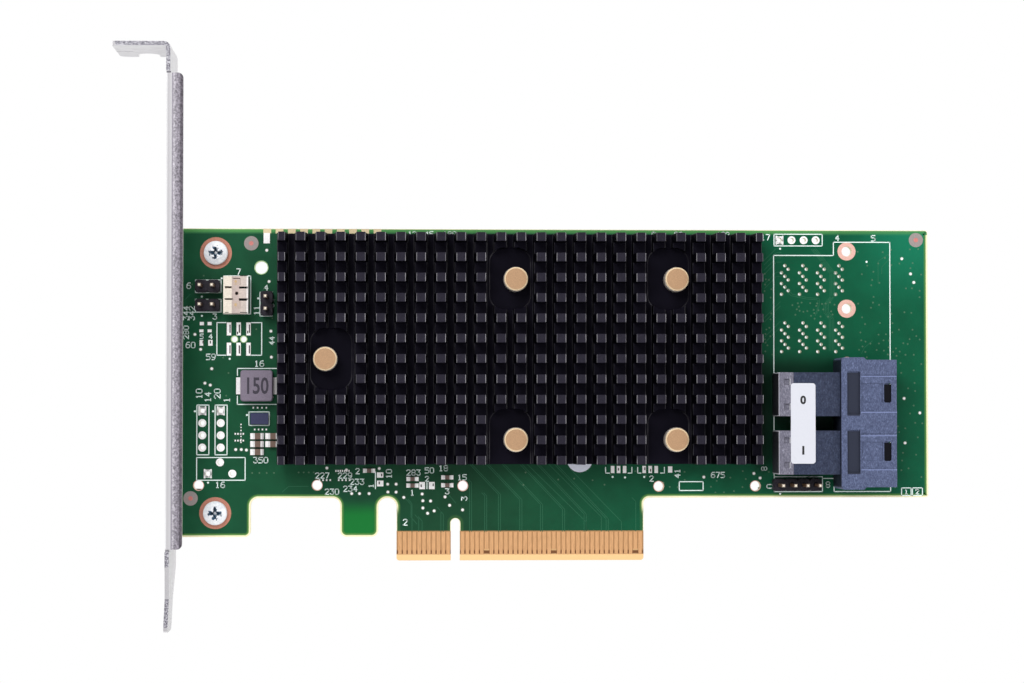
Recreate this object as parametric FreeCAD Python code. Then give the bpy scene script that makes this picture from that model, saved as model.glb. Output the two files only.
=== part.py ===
import FreeCAD, Part
import math
import os

# A RAID controller card: a low-profile circuit board with an eight-lane edge connector, a
# full-height mounting bracket, a pin-fin heatsink held by five sprung push pins, and a two-port
# internal drive connector.
#
# Frame, in millimetres: the card stands upright as it does in its slot. The origin is on the
# bottom edge of the board, in the middle of its key notch and of its thickness. +X runs along the
# board away from the bracket, +Z is up, and the component side faces -Y.
# "Lift" is the height of something above the component face.

V = FreeCAD.Vector
os.makedirs("parts", exist_ok=True)

# ---------------------------------------------------------------- driving dimensions

past = 1.0                     # how far a cutting shape runs past the surface that it cuts

# circuit board
board_thickness = 1.57
board_length = 156.2
board_height = 68.90
board_left = -57.15            # the edge next to the bracket
board_corner_r = 0.6
body_bottom = 13.0             # lower edge of the board's main part
inner_corner_r = 1.6
foot_bottom = 4.95             # the foot at the bracket end reaches down to here
foot_right = -42.4
foot_corner_r = 1.2
tab_left = -23.9               # the retention tab beside the edge connector
tab_bottom = 4.95
tab_corner_r = 1.4
arch_width = 3.8               # the round-topped notch between the tab and the contacts

# edge connector
contact_pitch = 1.0
contact_count_left = 11        # contacts on the bracket side of the key notch
contact_count_right = 38
half_key_gap = 1.5             # from the notch's middle to the first contact on each side
contact_width = 0.72
contact_thickness = 0.05
contact_top = 5.95
contact_end_margin = 0.7      # from the last contact's middle to the edge of the board
key_width = 1.9
key_height = 8.7
bevel_height = 1.3
bevel_depth = 0.42
presence_contacts = (17, 31, 48)
presence_shortening = 1.0
back_presence_contacts = (1,)

# mounting bracket, one folded sheet
sheet = 0.86
bend_inner_r = 0.46
bracket_width = 18.42
bracket_height = 120.02
bracket_outer_x = -58.95
bracket_top = 105.95
bracket_reach = 14.1           # how far the bracket stands in front of the component face
tab_length = 11.0              # the screw tab at the top, beyond the outer face
tab_corner_far_r = 2.0
tab_corner_near_r = 1.0
screw_slot_width = 4.4
screw_slot_depth = 5.4
screw_slot_from_face = 4.87
screw_slot_mouth = 0.5
crease_from_far = 8.6          # a shallow coined crease under the tab, from the far edge
crease_length = 3.4
crease_width = 0.3
crease_depth = 0.12
flange_length = 3.5            # stiffening flange in front of the component side
flange_top = 99.55
flange_bottom = 3.05
flange_corner_r = 1.1
relief = 0.45
shoulder_z = -0.5              # the sheet narrows from here down to the tongue
tongue_width = 10.2
tongue_z = -7.2
tongue_corner_r = 1.6
tongue_lean = 0.6              # how far the tongue's tip leans outwards
lean_start_z = -1.5
ear_length = 13.6              # the ears behind the board, from the bracket's outer face
ear_height = 10.0
ear_corner_r = 1.5

# screws through the board into the ears
bracket_screw_x = -49.7
bracket_screw_from_top = 5.1
bracket_screw_low_z = 9.9
screw_shank_r = 1.45
screw_head_r = 2.5
screw_head_rim = 0.9
screw_head_height = 1.8
screw_head_round = 0.5
screw_crown_r = 1.15
screw_point = 0.3
screw_length = 4.6
recess_size = 2.5
recess_bar = 0.55
recess_depth = 1.1
recess_taper = 0.6
screw_board_clearance = 0.15
thread_clearance = 0.02

# heatsink
pin_columns = 25
pin_pitch_x = 4.095
pin_pitch_z = 4.153
pin_width = 1.9                # each pin's top, along the board
pin_depth = 1.8                # and across it
end_pin_trim = 0.48            # taken off the outer side of the first and last pins
pin_taper = 0.45               # how much wider each rib is on either side at its foot
pin_height = 6.4
kerf_depth = 4.4               # the cross cuts are shallower than the channels
base_thickness = 2.3
heatsink_left = -36.4
heatsink_top_margin = 1.35     # below the board's top edge
heatsink_lowest = 19.5         # no pin row reaches below this
pocket_width = 8.5
pocket_height = 12.6
pocket_corner_r = 2.9
pocket_sink = 0.3              # the milled pockets go a little deeper than the channels
pocket_columns = (11.5, 19.5, 2.5)   # pin columns, counted from zero, that the pockets centre on
pocket_edge_rows = 2           # pin rows above the top pockets

# controller under the heatsink
controller_size = 27.0
substrate_thickness = 1.1
substrate_lift = 0.4           # solder balls under the substrate
ball_count = 10                # balls along each side
ball_pitch = 2.5
ball_r = 0.35
die_size = 21.0
die_thickness = 1.1
thermal_pad_thickness = 0.3

# push pins and their springs
anchor_shift_x = (1.09, 1.48, -1.16)  # from the middle of each pocket column to its push pins
anchor_shift_z = (-0.21, -0.21, 0, 0, -0.03)  # from the middle of each pocket in turn
pin_shaft_r = 1.35
pin_hole_clearance = 0.2
pin_head_r = 2.4
pin_head_thickness = 0.9
pin_head_lift = 8.2
pin_head_chamfer = 0.25
barb_r = 1.9
barb_length = 2.6
barb_tip_r = 0.9
barb_slot = 0.5
barb_gap = 0.05
spring_wire_r = 0.26
spring_mean_r = 2.3
wire_sides = 8
spring_turns = 4
spring_end_gap = 0.06

# drive connector: a column of port footprints, of which the lowest are fitted
port_pitch = 12.0
fitted_port_count = 2
port_hole_x = 68.95
port_hole_columns = 4
port_hole_pitch_x = 3.8
port_hole_rows = 9
port_hole_pitch_z = 0.75
port_hole_stagger = 0.71
port_hole_r = 0.3
port_pin_size = 0.36
port_pin_tail = 0.7
lowest_port_z = 22.47
post_x = 81.97
post_hole_r = 1.05
post_clearance = 0.1
port_rear_x = 66.26
port_front_x = 79.06
port_mouth_x = 90.55
port_body_height = 9.4
port_body_depth = 9.05         # size of each rear body across the board
port_cover_length = 3.1
cover_corner_r = 0.4
cover_window = 1.2
cover_window_from_rear = 1.75
cover_window_spacing = 5.1
cover_window_depth = 0.5
housing_height = 10.4
housing_overhang = 7.6         # from the outer port's middle to the housing's end
housing_shoulder = 5.2         # the wider part next to the rear bodies
housing_step = 0.5
housing_corner_r = 0.8
mouth_width = 7.7
mouth_height = 8.3
mouth_floor = 1.1
mouth_depth = 8.6
latch_offset = 0.28            # the latch features sit a little above each port's middle
latch_window_x = 80.3
latch_window_length = 2.65
latch_window_width = 8.8
latch_window_depth = 0.45
latch_slot_x = 87.93
latch_slot_length = 1.5
latch_slot_width = 4.0
latch_slot_corner_r = 0.4
latch_pad_width = 7.4
latch_relief = 0.18
latch_rib = 0.3                # left between one latch feature and the next
inner_relief_width = 3.9
nose_width = 6.9
nose_height = 7.2
nose_length = 1.5
nose_clearance = 0.05
nose_slot_width = 6.2
nose_slot_height = 1.1
nose_slot_spacing = 3.3
nose_slot_depth = 1.2
port_contact_count = 9
port_contact_pitch = 0.6
port_contact_width = 0.34
port_contact_thickness = 0.15
label_x = 68.75
label_length = 5.1
label_bottom = 20.2
label_top = 36.75
label_corner_r = 0.6
label_thickness = 0.12

# pin headers: (node, middle x, middle z, pins, runs along z)
header_pitch = 2.54
header_width = 2.6
header_body_height = 2.54
header_pin = 0.64
header_pin_tip = 0.15
header_pin_lift = 8.5
header_pin_tail = 1.4          # beyond the back of the board
header_hole_r = 0.55
header_notch = 0.35
headers = (
    ("activity_header", -51.3, board_height - 12.05, 2, False),
    ("fault_header", -51.3, board_height - 16.0, 2, False),
    ("option_header", -39.1, board_height - 15.6, 2, True),
    ("serial_header", 71.2, 15.65, 4, False),
)

# keyed socket beside the headers
socket_x = (-47.9, -42.8)
socket_z = (board_height - 17.8, board_height - 10.1)
socket_height = 4.4
socket_entry = 1.5
socket_entry_depth = 2.6
socket_pitch = 2.4
socket_pin_shift = 0.3
socket_hole_r = 0.35
socket_wall = 0.35
fork_width = 1.1
fork_length = 1.2
fork_gap = 0.4
fork_sink = 0.6                # below the socket's mouth
socket_contact_x = -45.15
socket_slit = 0.32
socket_slit_depth = 1.2
socket_left_slit_length = 1.6
socket_right_slit_length = 1.9
socket_contact_r = 0.4
socket_pin_tail = 1.0

# surface-mounted parts
inductor_centre = (-41.12, 36.25)
inductor_size = (6.65, 6.45)
inductor_height = 3.0
inductor_corner_r = 0.6
inductor_rim_r = 0.3
inductor_lift = 0.25
inductor_terminal_width = 3.5
inductor_terminal_reach = 1.0
inductor_terminal_under = 1.6
inductor_terminal_thickness = 0.25
regulator_centre = (-40.6, 29.44)
regulator_size = (3.7, 2.3)
regulator_height = 0.9
capacitor_size = (2.0, 1.25, 1.2)
capacitor_end = 0.42
capacitor_x = (-40.92, -37.75)
capacitor_z = 25.82
capacitor_pitch = 1.64
fuse_size = (1.6, 0.82, 0.6)
fuse_end = 0.34
fuses = ((-8.9, 16.92), (-8.9, 15.57), (-1.68, 17.25), (-1.68, 15.62), (-17.9, 18.65))
small_size = (1.0, 0.5, 0.45)
small_end = 0.24
flash_centre = (-12.0, 33.0)
flash_size = (5.2, 5.2, 1.8)
leads_a_side = 4
lead_pitch = 1.27
lead_length = 1.2
lead_width = 0.4
lead_thickness = 0.25
memory_centre = (-2.0, 46.0)
memory_size = (9.0, 8.0, 1.1)
hidden_coil_size = (4.2, 4.2, 2.0)
hidden_coil_x = (-28.0, -20.0, -12.0)
hidden_coil_below = 6.5        # below the heatsink's top edge
back_pitch = (2.6, 3.4)        # rows of capacitors behind the controller
back_columns = 8
back_rows = 6
sticker_centre = (25.9, 21.0)
sticker_r = 2.7
sticker_thickness = 0.12
edge_pad_count = 10
edge_pad_x = -39.1
edge_pad_size = (1.6, 4.0)

# bare holes
tooling_hole_r = 1.0
tooling_holes = ((-53.15, 15.65), (-28.65, 15.65), (1.55, 15.5), (42.4, 15.35), (62.65, 15.4))
locating_hole_x = -40.3
locating_hole_from_top = 8.1
locating_hole_r = 1.3
bare_header_hole_r = 0.5
bare_header_x = (-52.42, -48.62)
bare_header_z = 23.45
bare_header_count = 4
top_header_x = 67.85
top_header_from_top = 2.1
bare_coax_holes = ((-48.75, 20.4), (-51.25, 18.05), (-46.2, 18.05))
peg_holes = ((-45.82, board_height - 22.98), (-43.92, board_height - 22.98))
peg_hole_r = 0.6

# ---------------------------------------------------------------- places that follow from them

board_right = board_left + board_length
front_y = -board_thickness / 2
back_y = board_thickness / 2
tab_right = -half_key_gap - (contact_count_left - 1) * contact_pitch - contact_end_margin - arch_width
edge_left = tab_right + arch_width
edge_right = half_key_gap + (contact_count_right - 1) * contact_pitch + contact_end_margin
bend_outer_r = bend_inner_r + sheet
bracket_inner_x = bracket_outer_x + sheet
near_y = front_y - bracket_reach
far_y = near_y + bracket_width
tongue_bottom = bracket_top - bracket_height
bracket_middle_y = (near_y + far_y) / 2
chip_top_lift = substrate_lift + substrate_thickness + die_thickness
base_lift = chip_top_lift + thermal_pad_thickness
base_top_lift = base_lift + base_thickness
kerf_lift = base_top_lift + pin_height - kerf_depth
heatsink_top = board_height - heatsink_top_margin
pin_rows = int((heatsink_top - heatsink_lowest - pin_depth) / pin_pitch_z) + 1
grid_left = heatsink_left - end_pin_trim
low_pocket_row = pin_rows - pocket_edge_rows
pocket_middle_row = (pocket_edge_rows + low_pocket_row) // 2
pocket_grid = [(column, row) for row in (pocket_edge_rows, low_pocket_row) for column in (0, 1)]
pocket_grid.append((2, pocket_middle_row))
pockets = [(grid_left + pocket_columns[i] * pin_pitch_x + pin_width / 2,
            heatsink_top - row * pin_pitch_z - pin_depth / 2) for i, row in pocket_grid]
anchors = [(x + anchor_shift_x[i], z + shift_z)
           for (x, z), (i, row), shift_z in zip(pockets, pocket_grid, anchor_shift_z)]
controller_centre = ((anchors[0][0] + anchors[1][0]) / 2, anchors[-1][1])
port_count = int((board_height - lowest_port_z) / port_pitch + 0.5)
port_places = [lowest_port_z + port_pitch * i for i in range(port_count)]
fitted_ports = port_places[fitted_port_count - 1::-1]
bracket_screw_z = (board_height - bracket_screw_from_top, bracket_screw_low_z)
housing_middle_z = sum(fitted_ports) / len(fitted_ports)
housing_half = (fitted_ports[0] - fitted_ports[-1]) / 2 + housing_overhang


# ---------------------------------------------------------------- helpers

def box(x, y, z):
    """A block between two values on each axis."""
    return Part.makeBox(x[1] - x[0], y[1] - y[0], z[1] - z[0], V(x[0], y[0], z[0]))


def centred_block(centre, size, lift, height):
    """A block on the component side, size across the board, its foot at the given lift."""
    half_x, half_z = size[0] / 2, size[1] / 2
    return box((centre[0] - half_x, centre[0] + half_x), (front_y - lift - height, front_y - lift),
               (centre[1] - half_z, centre[1] + half_z))


def rod(x, z, radius, y0, y1):
    """A cylinder along Y."""
    return Part.makeCylinder(radius, y1 - y0, V(x, y0, z), V(0, 1, 0))


def rounded_face(corners, place):
    """A flat face from corners (u, v, corner radius); place(u, v) sets them in space."""
    ends = []
    edges = []
    for i, (u, v, radius) in enumerate(corners):
        corner = V(u, v, 0)
        before = V(corners[i - 1][0], corners[i - 1][1], 0) - corner
        after = V(*corners[(i + 1) % len(corners)][:2], 0) - corner
        before.normalize()
        after.normalize()
        if radius == 0:
            ends.append((corner, corner))
            continue
        half = before.getAngle(after) / 2
        first = corner + before * (radius / math.tan(half))
        last = corner + after * (radius / math.tan(half))
        inward = before + after
        inward.normalize()
        middle = corner + inward * (radius / math.sin(half) - radius)
        edges.append(Part.Arc(*(place(p.x, p.y) for p in (first, middle, last))).toShape())
        ends.append((first, last))
    for i, (first, last) in enumerate(ends):
        start = ends[i - 1][1]
        if start.distanceToPoint(first) > 1e-6:
            edges.append(Part.makeLine(place(start.x, start.y), place(first.x, first.y)))
    return Part.Face(Part.Wire(Part.__sortEdges__(edges)))


def slab_xz(corners, y0, y1):
    """An outline across the board, given thickness along Y."""
    return rounded_face(corners, lambda u, v: V(u, y0, v)).extrude(V(0, y1 - y0, 0))


def slab_yz(corners, x0, x1):
    return rounded_face(corners, lambda u, v: V(x0, u, v)).extrude(V(x1 - x0, 0, 0))


def slab_xy(corners, z0, z1):
    return rounded_face(corners, lambda u, v: V(u, v, z0)).extrude(V(0, 0, z1 - z0))


def rectangle(x0, x1, z0, z1, radius=0):
    return [(x0, z0, radius), (x1, z0, radius), (x1, z1, radius), (x0, z1, radius)]


def turned(corners, x, z):
    """A solid of revolution about a line along Y; corners are (radius, y, corner radius)."""
    face = rounded_face(corners, lambda u, v: V(x + u, v, z))
    return face.revolve(V(x, 0, z), V(0, 1, 0), 360)


def save(node, shapes):
    """Writes one node, as one solid or as a group of separate solids."""
    if not isinstance(shapes, (list, tuple)):
        shapes = [shapes]
    solids = [solid for shape in shapes for solid in shape.Solids]
    whole = solids[0] if len(solids) == 1 else Part.makeCompound(solids)
    whole.exportStep("parts/" + node + ".step")
    print(node, len(solids), "solids,", round(sum(s.Volume for s in solids), 2), "mm3")


# ---------------------------------------------------------------- hole patterns

def port_hole_places(port_z):
    """The compliant-pin holes of one port: four staggered columns."""
    places = []
    for column in range(port_hole_columns):
        for row in range(port_hole_rows):
            shift = (0, 1, -1)[row % 3] * port_hole_stagger
            x = port_hole_x + column * port_hole_pitch_x + shift
            z = port_z + ((port_hole_rows - 1) / 2 - row) * port_hole_pitch_z
            places.append((x, z))
    return places


def row_places(x, z, count, along_z):
    """Places in a row at header pitch, from its first place."""
    if along_z:
        return [(x, z + i * header_pitch) for i in range(count)]
    return [(x + i * header_pitch, z) for i in range(count)]


def header_places(x, z, count, along_z):
    """Pin places of a header, from its middle."""
    reach = (count - 1) * header_pitch / 2
    if along_z:
        return row_places(x, z - reach, count, True)
    return row_places(x - reach, z, count, False)


def post_places():
    bottom = lowest_port_z - port_pitch / 2
    return [(post_x, bottom + i * port_pitch) for i in range(port_count + 1)]


def socket_pin_places():
    middle = (socket_z[0] + socket_z[1]) / 2 + socket_pin_shift
    return [(socket_contact_x, middle + side * socket_pitch) for side in (1, -1)]


# ---------------------------------------------------------------- circuit board

def make_board():
    outline = [
        (board_left, foot_bottom, board_corner_r),
        (foot_right, foot_bottom, foot_corner_r),
        (foot_right, body_bottom, inner_corner_r),
        (tab_left, body_bottom, inner_corner_r),
        (tab_left, tab_bottom, tab_corner_r),
        (tab_right, tab_bottom, tab_corner_r),
        (tab_right, body_bottom, arch_width / 2),
        (edge_left, body_bottom, arch_width / 2),
        (edge_left, 0, board_corner_r),
        (-key_width / 2, 0, 0),
        (-key_width / 2, key_height, key_width / 2),
        (key_width / 2, key_height, key_width / 2),
        (key_width / 2, 0, 0),
        (edge_right, 0, board_corner_r),
        (edge_right, body_bottom, foot_corner_r),
        (board_right, body_bottom, board_corner_r),
        (board_right, board_height, board_corner_r),
        (board_left, board_height, board_corner_r),
    ]
    board = slab_xz(outline, front_y, back_y)
    for face, side in ((front_y, 1), (back_y, -1)):
        outside, tip = face - side * past, face + side * bevel_depth
        corners = [(face, bevel_height, 0), (outside, bevel_height, 0), (outside, -past, 0),
                   (tip, -past, 0), (tip, 0, 0)]
        board = board.cut(slab_yz(corners, edge_left - past, edge_right + past))
    holes = [(x, z, tooling_hole_r) for x, z in tooling_holes]
    holes.append((locating_hole_x, board_height - locating_hole_from_top, locating_hole_r))
    holes += [(x, z, peg_hole_r) for x, z in peg_holes]
    bare = list(bare_coax_holes)
    for x in bare_header_x:
        bare += row_places(x, bare_header_z, bare_header_count, True)
    bare += row_places(top_header_x, board_height - top_header_from_top, bare_header_count, False)
    holes += [(x, z, bare_header_hole_r) for x, z in bare]
    holes += [(x, z, header_hole_r) for row in headers for x, z in header_places(*row[1:])]
    holes += [(x, z, header_hole_r) for x, z in socket_pin_places()]
    holes += [(x, z, post_hole_r) for x, z in post_places()]
    holes += [(x, z, pin_shaft_r + pin_hole_clearance) for x, z in anchors]
    screw_hole_r = screw_shank_r + screw_board_clearance
    holes += [(bracket_screw_x, z, screw_hole_r) for z in bracket_screw_z]
    for port_z in port_places:
        holes += [(x, z, port_hole_r) for x, z in port_hole_places(port_z)]
    return board.cut([rod(x, z, radius, front_y - past, back_y + past) for x, z, radius in holes])


def contact_x(number):
    """The middle of an edge contact, counted from the bracket end."""
    if number <= contact_count_left:
        return -half_key_gap - (contact_count_left - number) * contact_pitch
    return half_key_gap + (number - contact_count_left - 1) * contact_pitch


def edge_contacts(face, outwards, short_ones):
    """Flat plated contacts on one face of the board."""
    pads = []
    for number in range(1, contact_count_left + contact_count_right + 1):
        x = contact_x(number)
        bottom = bevel_height + (presence_shortening if number in short_ones else 0)
        ys = sorted((face, face + outwards * contact_thickness))
        pads.append(box((x - contact_width / 2, x + contact_width / 2), ys, (bottom, contact_top)))
    return pads


def edge_pads():
    """Plated test pads along the top edge of the board."""
    width, height = edge_pad_size
    pads = []
    for x, z in row_places(edge_pad_x, board_height - height / 2, edge_pad_count, False):
        pads.append(centred_block((x, z), (width, height), 0, contact_thickness))
    return pads


# ---------------------------------------------------------------- mounting bracket

def corner_profile(end_x, edge_y, into):
    """An L in plan: a leg along X at edge_y, bent into the face; into is +1 or -1 along Y."""
    join_y = edge_y + into * bend_outer_r
    return [(end_x, edge_y, 0), (bracket_outer_x, edge_y, bend_outer_r), (bracket_outer_x, join_y, 0),
            (bracket_inner_x, join_y, 0), (bracket_inner_x, edge_y + into * sheet, bend_inner_r),
            (end_x, edge_y + into * sheet, 0)]


def make_bracket():
    tab_end_x = bracket_outer_x - tab_length
    side_view = [
        (tab_end_x, bracket_top, 0),
        (bracket_inner_x, bracket_top, bend_outer_r),
        (bracket_inner_x, lean_start_z, 0),
        (bracket_inner_x - tongue_lean, tongue_bottom, 0),
        (bracket_outer_x - tongue_lean, tongue_bottom, 0),
        (bracket_outer_x, lean_start_z, 0),
        (bracket_outer_x, bracket_top - sheet, bend_inner_r),
        (tab_end_x, bracket_top - sheet, 0),
    ]
    tongue_near = bracket_middle_y - tongue_width / 2
    tongue_far = bracket_middle_y + tongue_width / 2
    end_view = [
        (near_y, bracket_top + past, 0),
        (near_y, shoulder_z, 0),
        (tongue_near, tongue_z, 0),
        (tongue_near, tongue_bottom, tongue_corner_r),
        (tongue_far, tongue_bottom, tongue_corner_r),
        (tongue_far, tongue_z, 0),
        (far_y, shoulder_z, 0),
        (far_y, bracket_top + past, 0),
    ]
    folded = slab_xz(side_view, near_y, far_y)
    folded = folded.common(slab_yz(end_view, tab_end_x - past, bracket_inner_x + past))
    tab_outline = [
        (tab_end_x, near_y, tab_corner_near_r),
        (bracket_inner_x, near_y, 0),
        (bracket_inner_x, far_y, 0),
        (tab_end_x, far_y, tab_corner_far_r),
    ]
    tab_zone = (bracket_top - sheet - past, bracket_top + past)
    around = box((tab_end_x - past, bracket_outer_x), (near_y - past, far_y + past), tab_zone)
    folded = folded.cut(around.cut(slab_xy(tab_outline, *tab_zone)))
    slot_x = bracket_outer_x - screw_slot_from_face
    slot_half = screw_slot_width / 2
    slot_end = far_y - screw_slot_depth + slot_half
    mouth_y = far_y - screw_slot_mouth
    slot = [
        (slot_x - slot_half, slot_end - slot_half, slot_half),
        (slot_x + slot_half, slot_end - slot_half, slot_half),
        (slot_x + slot_half, mouth_y, 0),
        (slot_x + slot_half + 2 * screw_slot_mouth, mouth_y + 2 * screw_slot_mouth, 0),
        (slot_x - slot_half - 2 * screw_slot_mouth, mouth_y + 2 * screw_slot_mouth, 0),
        (slot_x - slot_half, mouth_y, 0),
    ]
    folded = folded.cut(slab_xy(slot, *tab_zone))
    underside = bracket_top - sheet
    crease_y = far_y - crease_from_far
    folded = folded.cut(box((tab_end_x - past, tab_end_x + crease_length),
                            (crease_y - crease_width / 2, crease_y + crease_width / 2),
                            (underside - past, underside + crease_depth)))
    across = (bracket_outer_x - past, bracket_inner_x + past)
    folded = folded.cut(box(across, (near_y - past, near_y + bend_outer_r),
                            (flange_bottom - relief, flange_top + relief)))
    flange_end = bracket_outer_x + flange_length
    flange = slab_xy(corner_profile(flange_end, near_y, 1), flange_bottom, flange_top)
    flange_outline = [
        (bracket_outer_x - past, flange_bottom, 0),
        (flange_end, flange_bottom, flange_corner_r),
        (flange_end, flange_top, flange_corner_r),
        (bracket_outer_x - past, flange_top, 0),
    ]
    pieces = [flange.common(slab_xz(flange_outline, near_y - past, near_y + bend_outer_r + past))]
    ear_back_y = back_y + sheet
    ear_end = bracket_outer_x + ear_length
    for z in bracket_screw_z:
        low, high = z - ear_height / 2, z + ear_height / 2
        window_y = (ear_back_y - bend_outer_r, far_y + past)
        folded = folded.cut(box(across, window_y, (low - relief, high + relief)))
        ear = slab_xy(corner_profile(ear_end, ear_back_y, -1), low, high)
        ear_outline = [(bracket_outer_x - past, low, 0), (ear_end, low, ear_corner_r),
                       (ear_end, high, ear_corner_r), (bracket_outer_x - past, high, 0)]
        ear = ear.common(slab_xz(ear_outline, ear_back_y - bend_outer_r - past, ear_back_y + past))
        hole_r = screw_shank_r + thread_clearance
        pieces.append(ear.cut(rod(bracket_screw_x, z, hole_r, 0, ear_back_y + past)))
    return folded.fuse(pieces).removeSplitter()


def make_bracket_screw(z):
    """A pan-head screw with a cross recess, driven from the component side."""
    seat = front_y
    tip = seat + screw_length
    profile = [
        (0, tip, 0),
        (screw_shank_r - screw_point, tip, 0),
        (screw_shank_r, tip - screw_point, 0),
        (screw_shank_r, seat, 0),
        (screw_head_r, seat, 0),
        (screw_head_r, seat - screw_head_rim, screw_head_round),
        (screw_crown_r, seat - screw_head_height, screw_head_round),
        (0, seat - screw_head_height, 0),
    ]
    screw = turned(profile, bracket_screw_x, z)
    top = seat - screw_head_height
    half, bar = recess_size / 2, recess_bar / 2
    ys = (top - past, top + recess_depth)
    bars = box((bracket_screw_x - half, bracket_screw_x + half), ys, (z - bar, z + bar))
    bars = bars.fuse(box((bracket_screw_x - bar, bracket_screw_x + bar), ys, (z - half, z + half)))
    taper = Part.makeCone(half + recess_taper * past, half - recess_taper * recess_depth,
                          recess_depth + past, V(bracket_screw_x, ys[0], z), V(0, 1, 0))
    return screw.cut(bars.common(taper))


# ---------------------------------------------------------------- heatsink and what holds it

def make_heatsink():
    """A finned extrusion, cross-cut into pins, with milled pockets and holes for the push pins."""
    span_x = (pin_columns - 1) * pin_pitch_x + pin_width - 2 * end_pin_trim
    span_z = (pin_rows - 1) * pin_pitch_z + pin_depth
    heatsink_right = heatsink_left + span_x
    left, right = heatsink_left - pin_taper, heatsink_right + pin_taper
    bottom = heatsink_top - span_z
    base_y, root_y = front_y - base_lift, front_y - base_top_lift
    tip_y = root_y - pin_height
    section = [(left, base_y, 0), (left, root_y, 0)]
    for column in range(pin_columns):
        x = grid_left + column * pin_pitch_x
        near, far = max(x, heatsink_left), min(x + pin_width, heatsink_right)
        if column:
            section.append((near - pin_taper, root_y, 0))
        section += [(near, tip_y, 0), (far, tip_y, 0)]
        if column < pin_columns - 1:
            section.append((far + pin_taper, root_y, 0))
    section += [(right, root_y, 0), (right, base_y, 0)]
    heatsink = slab_xy(section, bottom, heatsink_top)
    kerf_y = front_y - kerf_lift
    cuts = []
    for row in range(pin_rows - 1):
        high = heatsink_top - row * pin_pitch_z - pin_depth
        low = heatsink_top - (row + 1) * pin_pitch_z
        cuts.append(box((left - past, right + past), (tip_y - past, kerf_y), (low, high)))
    heatsink = heatsink.cut(cuts)
    for x, z in pockets:
        low, high = z - pocket_height / 2, z + pocket_height / 2
        outline = rectangle(x - pocket_width / 2, x + pocket_width / 2, low, high, pocket_corner_r)
        if low < bottom + pin_pitch_z:
            outline[0] = (x - pocket_width / 2, bottom - past, 0)
            outline[1] = (x + pocket_width / 2, bottom - past, 0)
        heatsink = heatsink.cut(slab_xz(outline, tip_y - past, root_y + pocket_sink))
    hole_r = pin_shaft_r + pin_hole_clearance
    return heatsink.cut([rod(x, z, hole_r, root_y - past, base_y + past) for x, z in anchors])


def make_push_pin(x, z):
    """A headed pin with a split, barbed tip that snaps in behind the board."""
    under_head = front_y - pin_head_lift
    top = under_head - pin_head_thickness
    barb_y = back_y + barb_gap
    profile = [
        (0, top, 0),
        (pin_head_r - pin_head_chamfer, top, 0),
        (pin_head_r, top + pin_head_chamfer, 0),
        (pin_head_r, under_head, 0),
        (pin_shaft_r, under_head, 0),
        (pin_shaft_r, barb_y, 0),
        (barb_r, barb_y, 0),
        (barb_tip_r, barb_y + barb_length, 0),
        (0, barb_y + barb_length, 0),
    ]
    split = box((x - barb_slot / 2, x + barb_slot / 2), (barb_y, barb_y + barb_length + past),
                (z - barb_r - past, z + barb_r + past))
    return turned(profile, x, z).cut(split)


def make_spring(x, z):
    """A coil spring between the pocket's floor and the head of its push pin."""
    foot = front_y - (base_top_lift - pocket_sink) - spring_end_gap - spring_wire_r
    head = front_y - pin_head_lift + spring_end_gap + spring_wire_r
    length = foot - head
    # an eight-sided wire with the round wire's area
    corner_r = spring_wire_r * math.sqrt(2 * math.pi / wire_sides / math.sin(2 * math.pi / wire_sides))
    helix = Part.makeHelix(length / spring_turns, length, spring_mean_r)
    wire_corners = []
    for i in range(wire_sides + 1):
        angle = 2 * math.pi * (i + 0.5) / wire_sides
        wire_corners.append(V(spring_mean_r + corner_r * math.cos(angle), 0, corner_r * math.sin(angle)))
    section = Part.makePolygon(wire_corners)
    coil = Part.Wire(helix.Edges).makePipeShell([section], True, True)
    coil.rotate(V(0, 0, 0), V(1, 0, 0), 90)
    coil.translate(V(x, foot, z))
    return coil


# ---------------------------------------------------------------- drive connector

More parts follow.
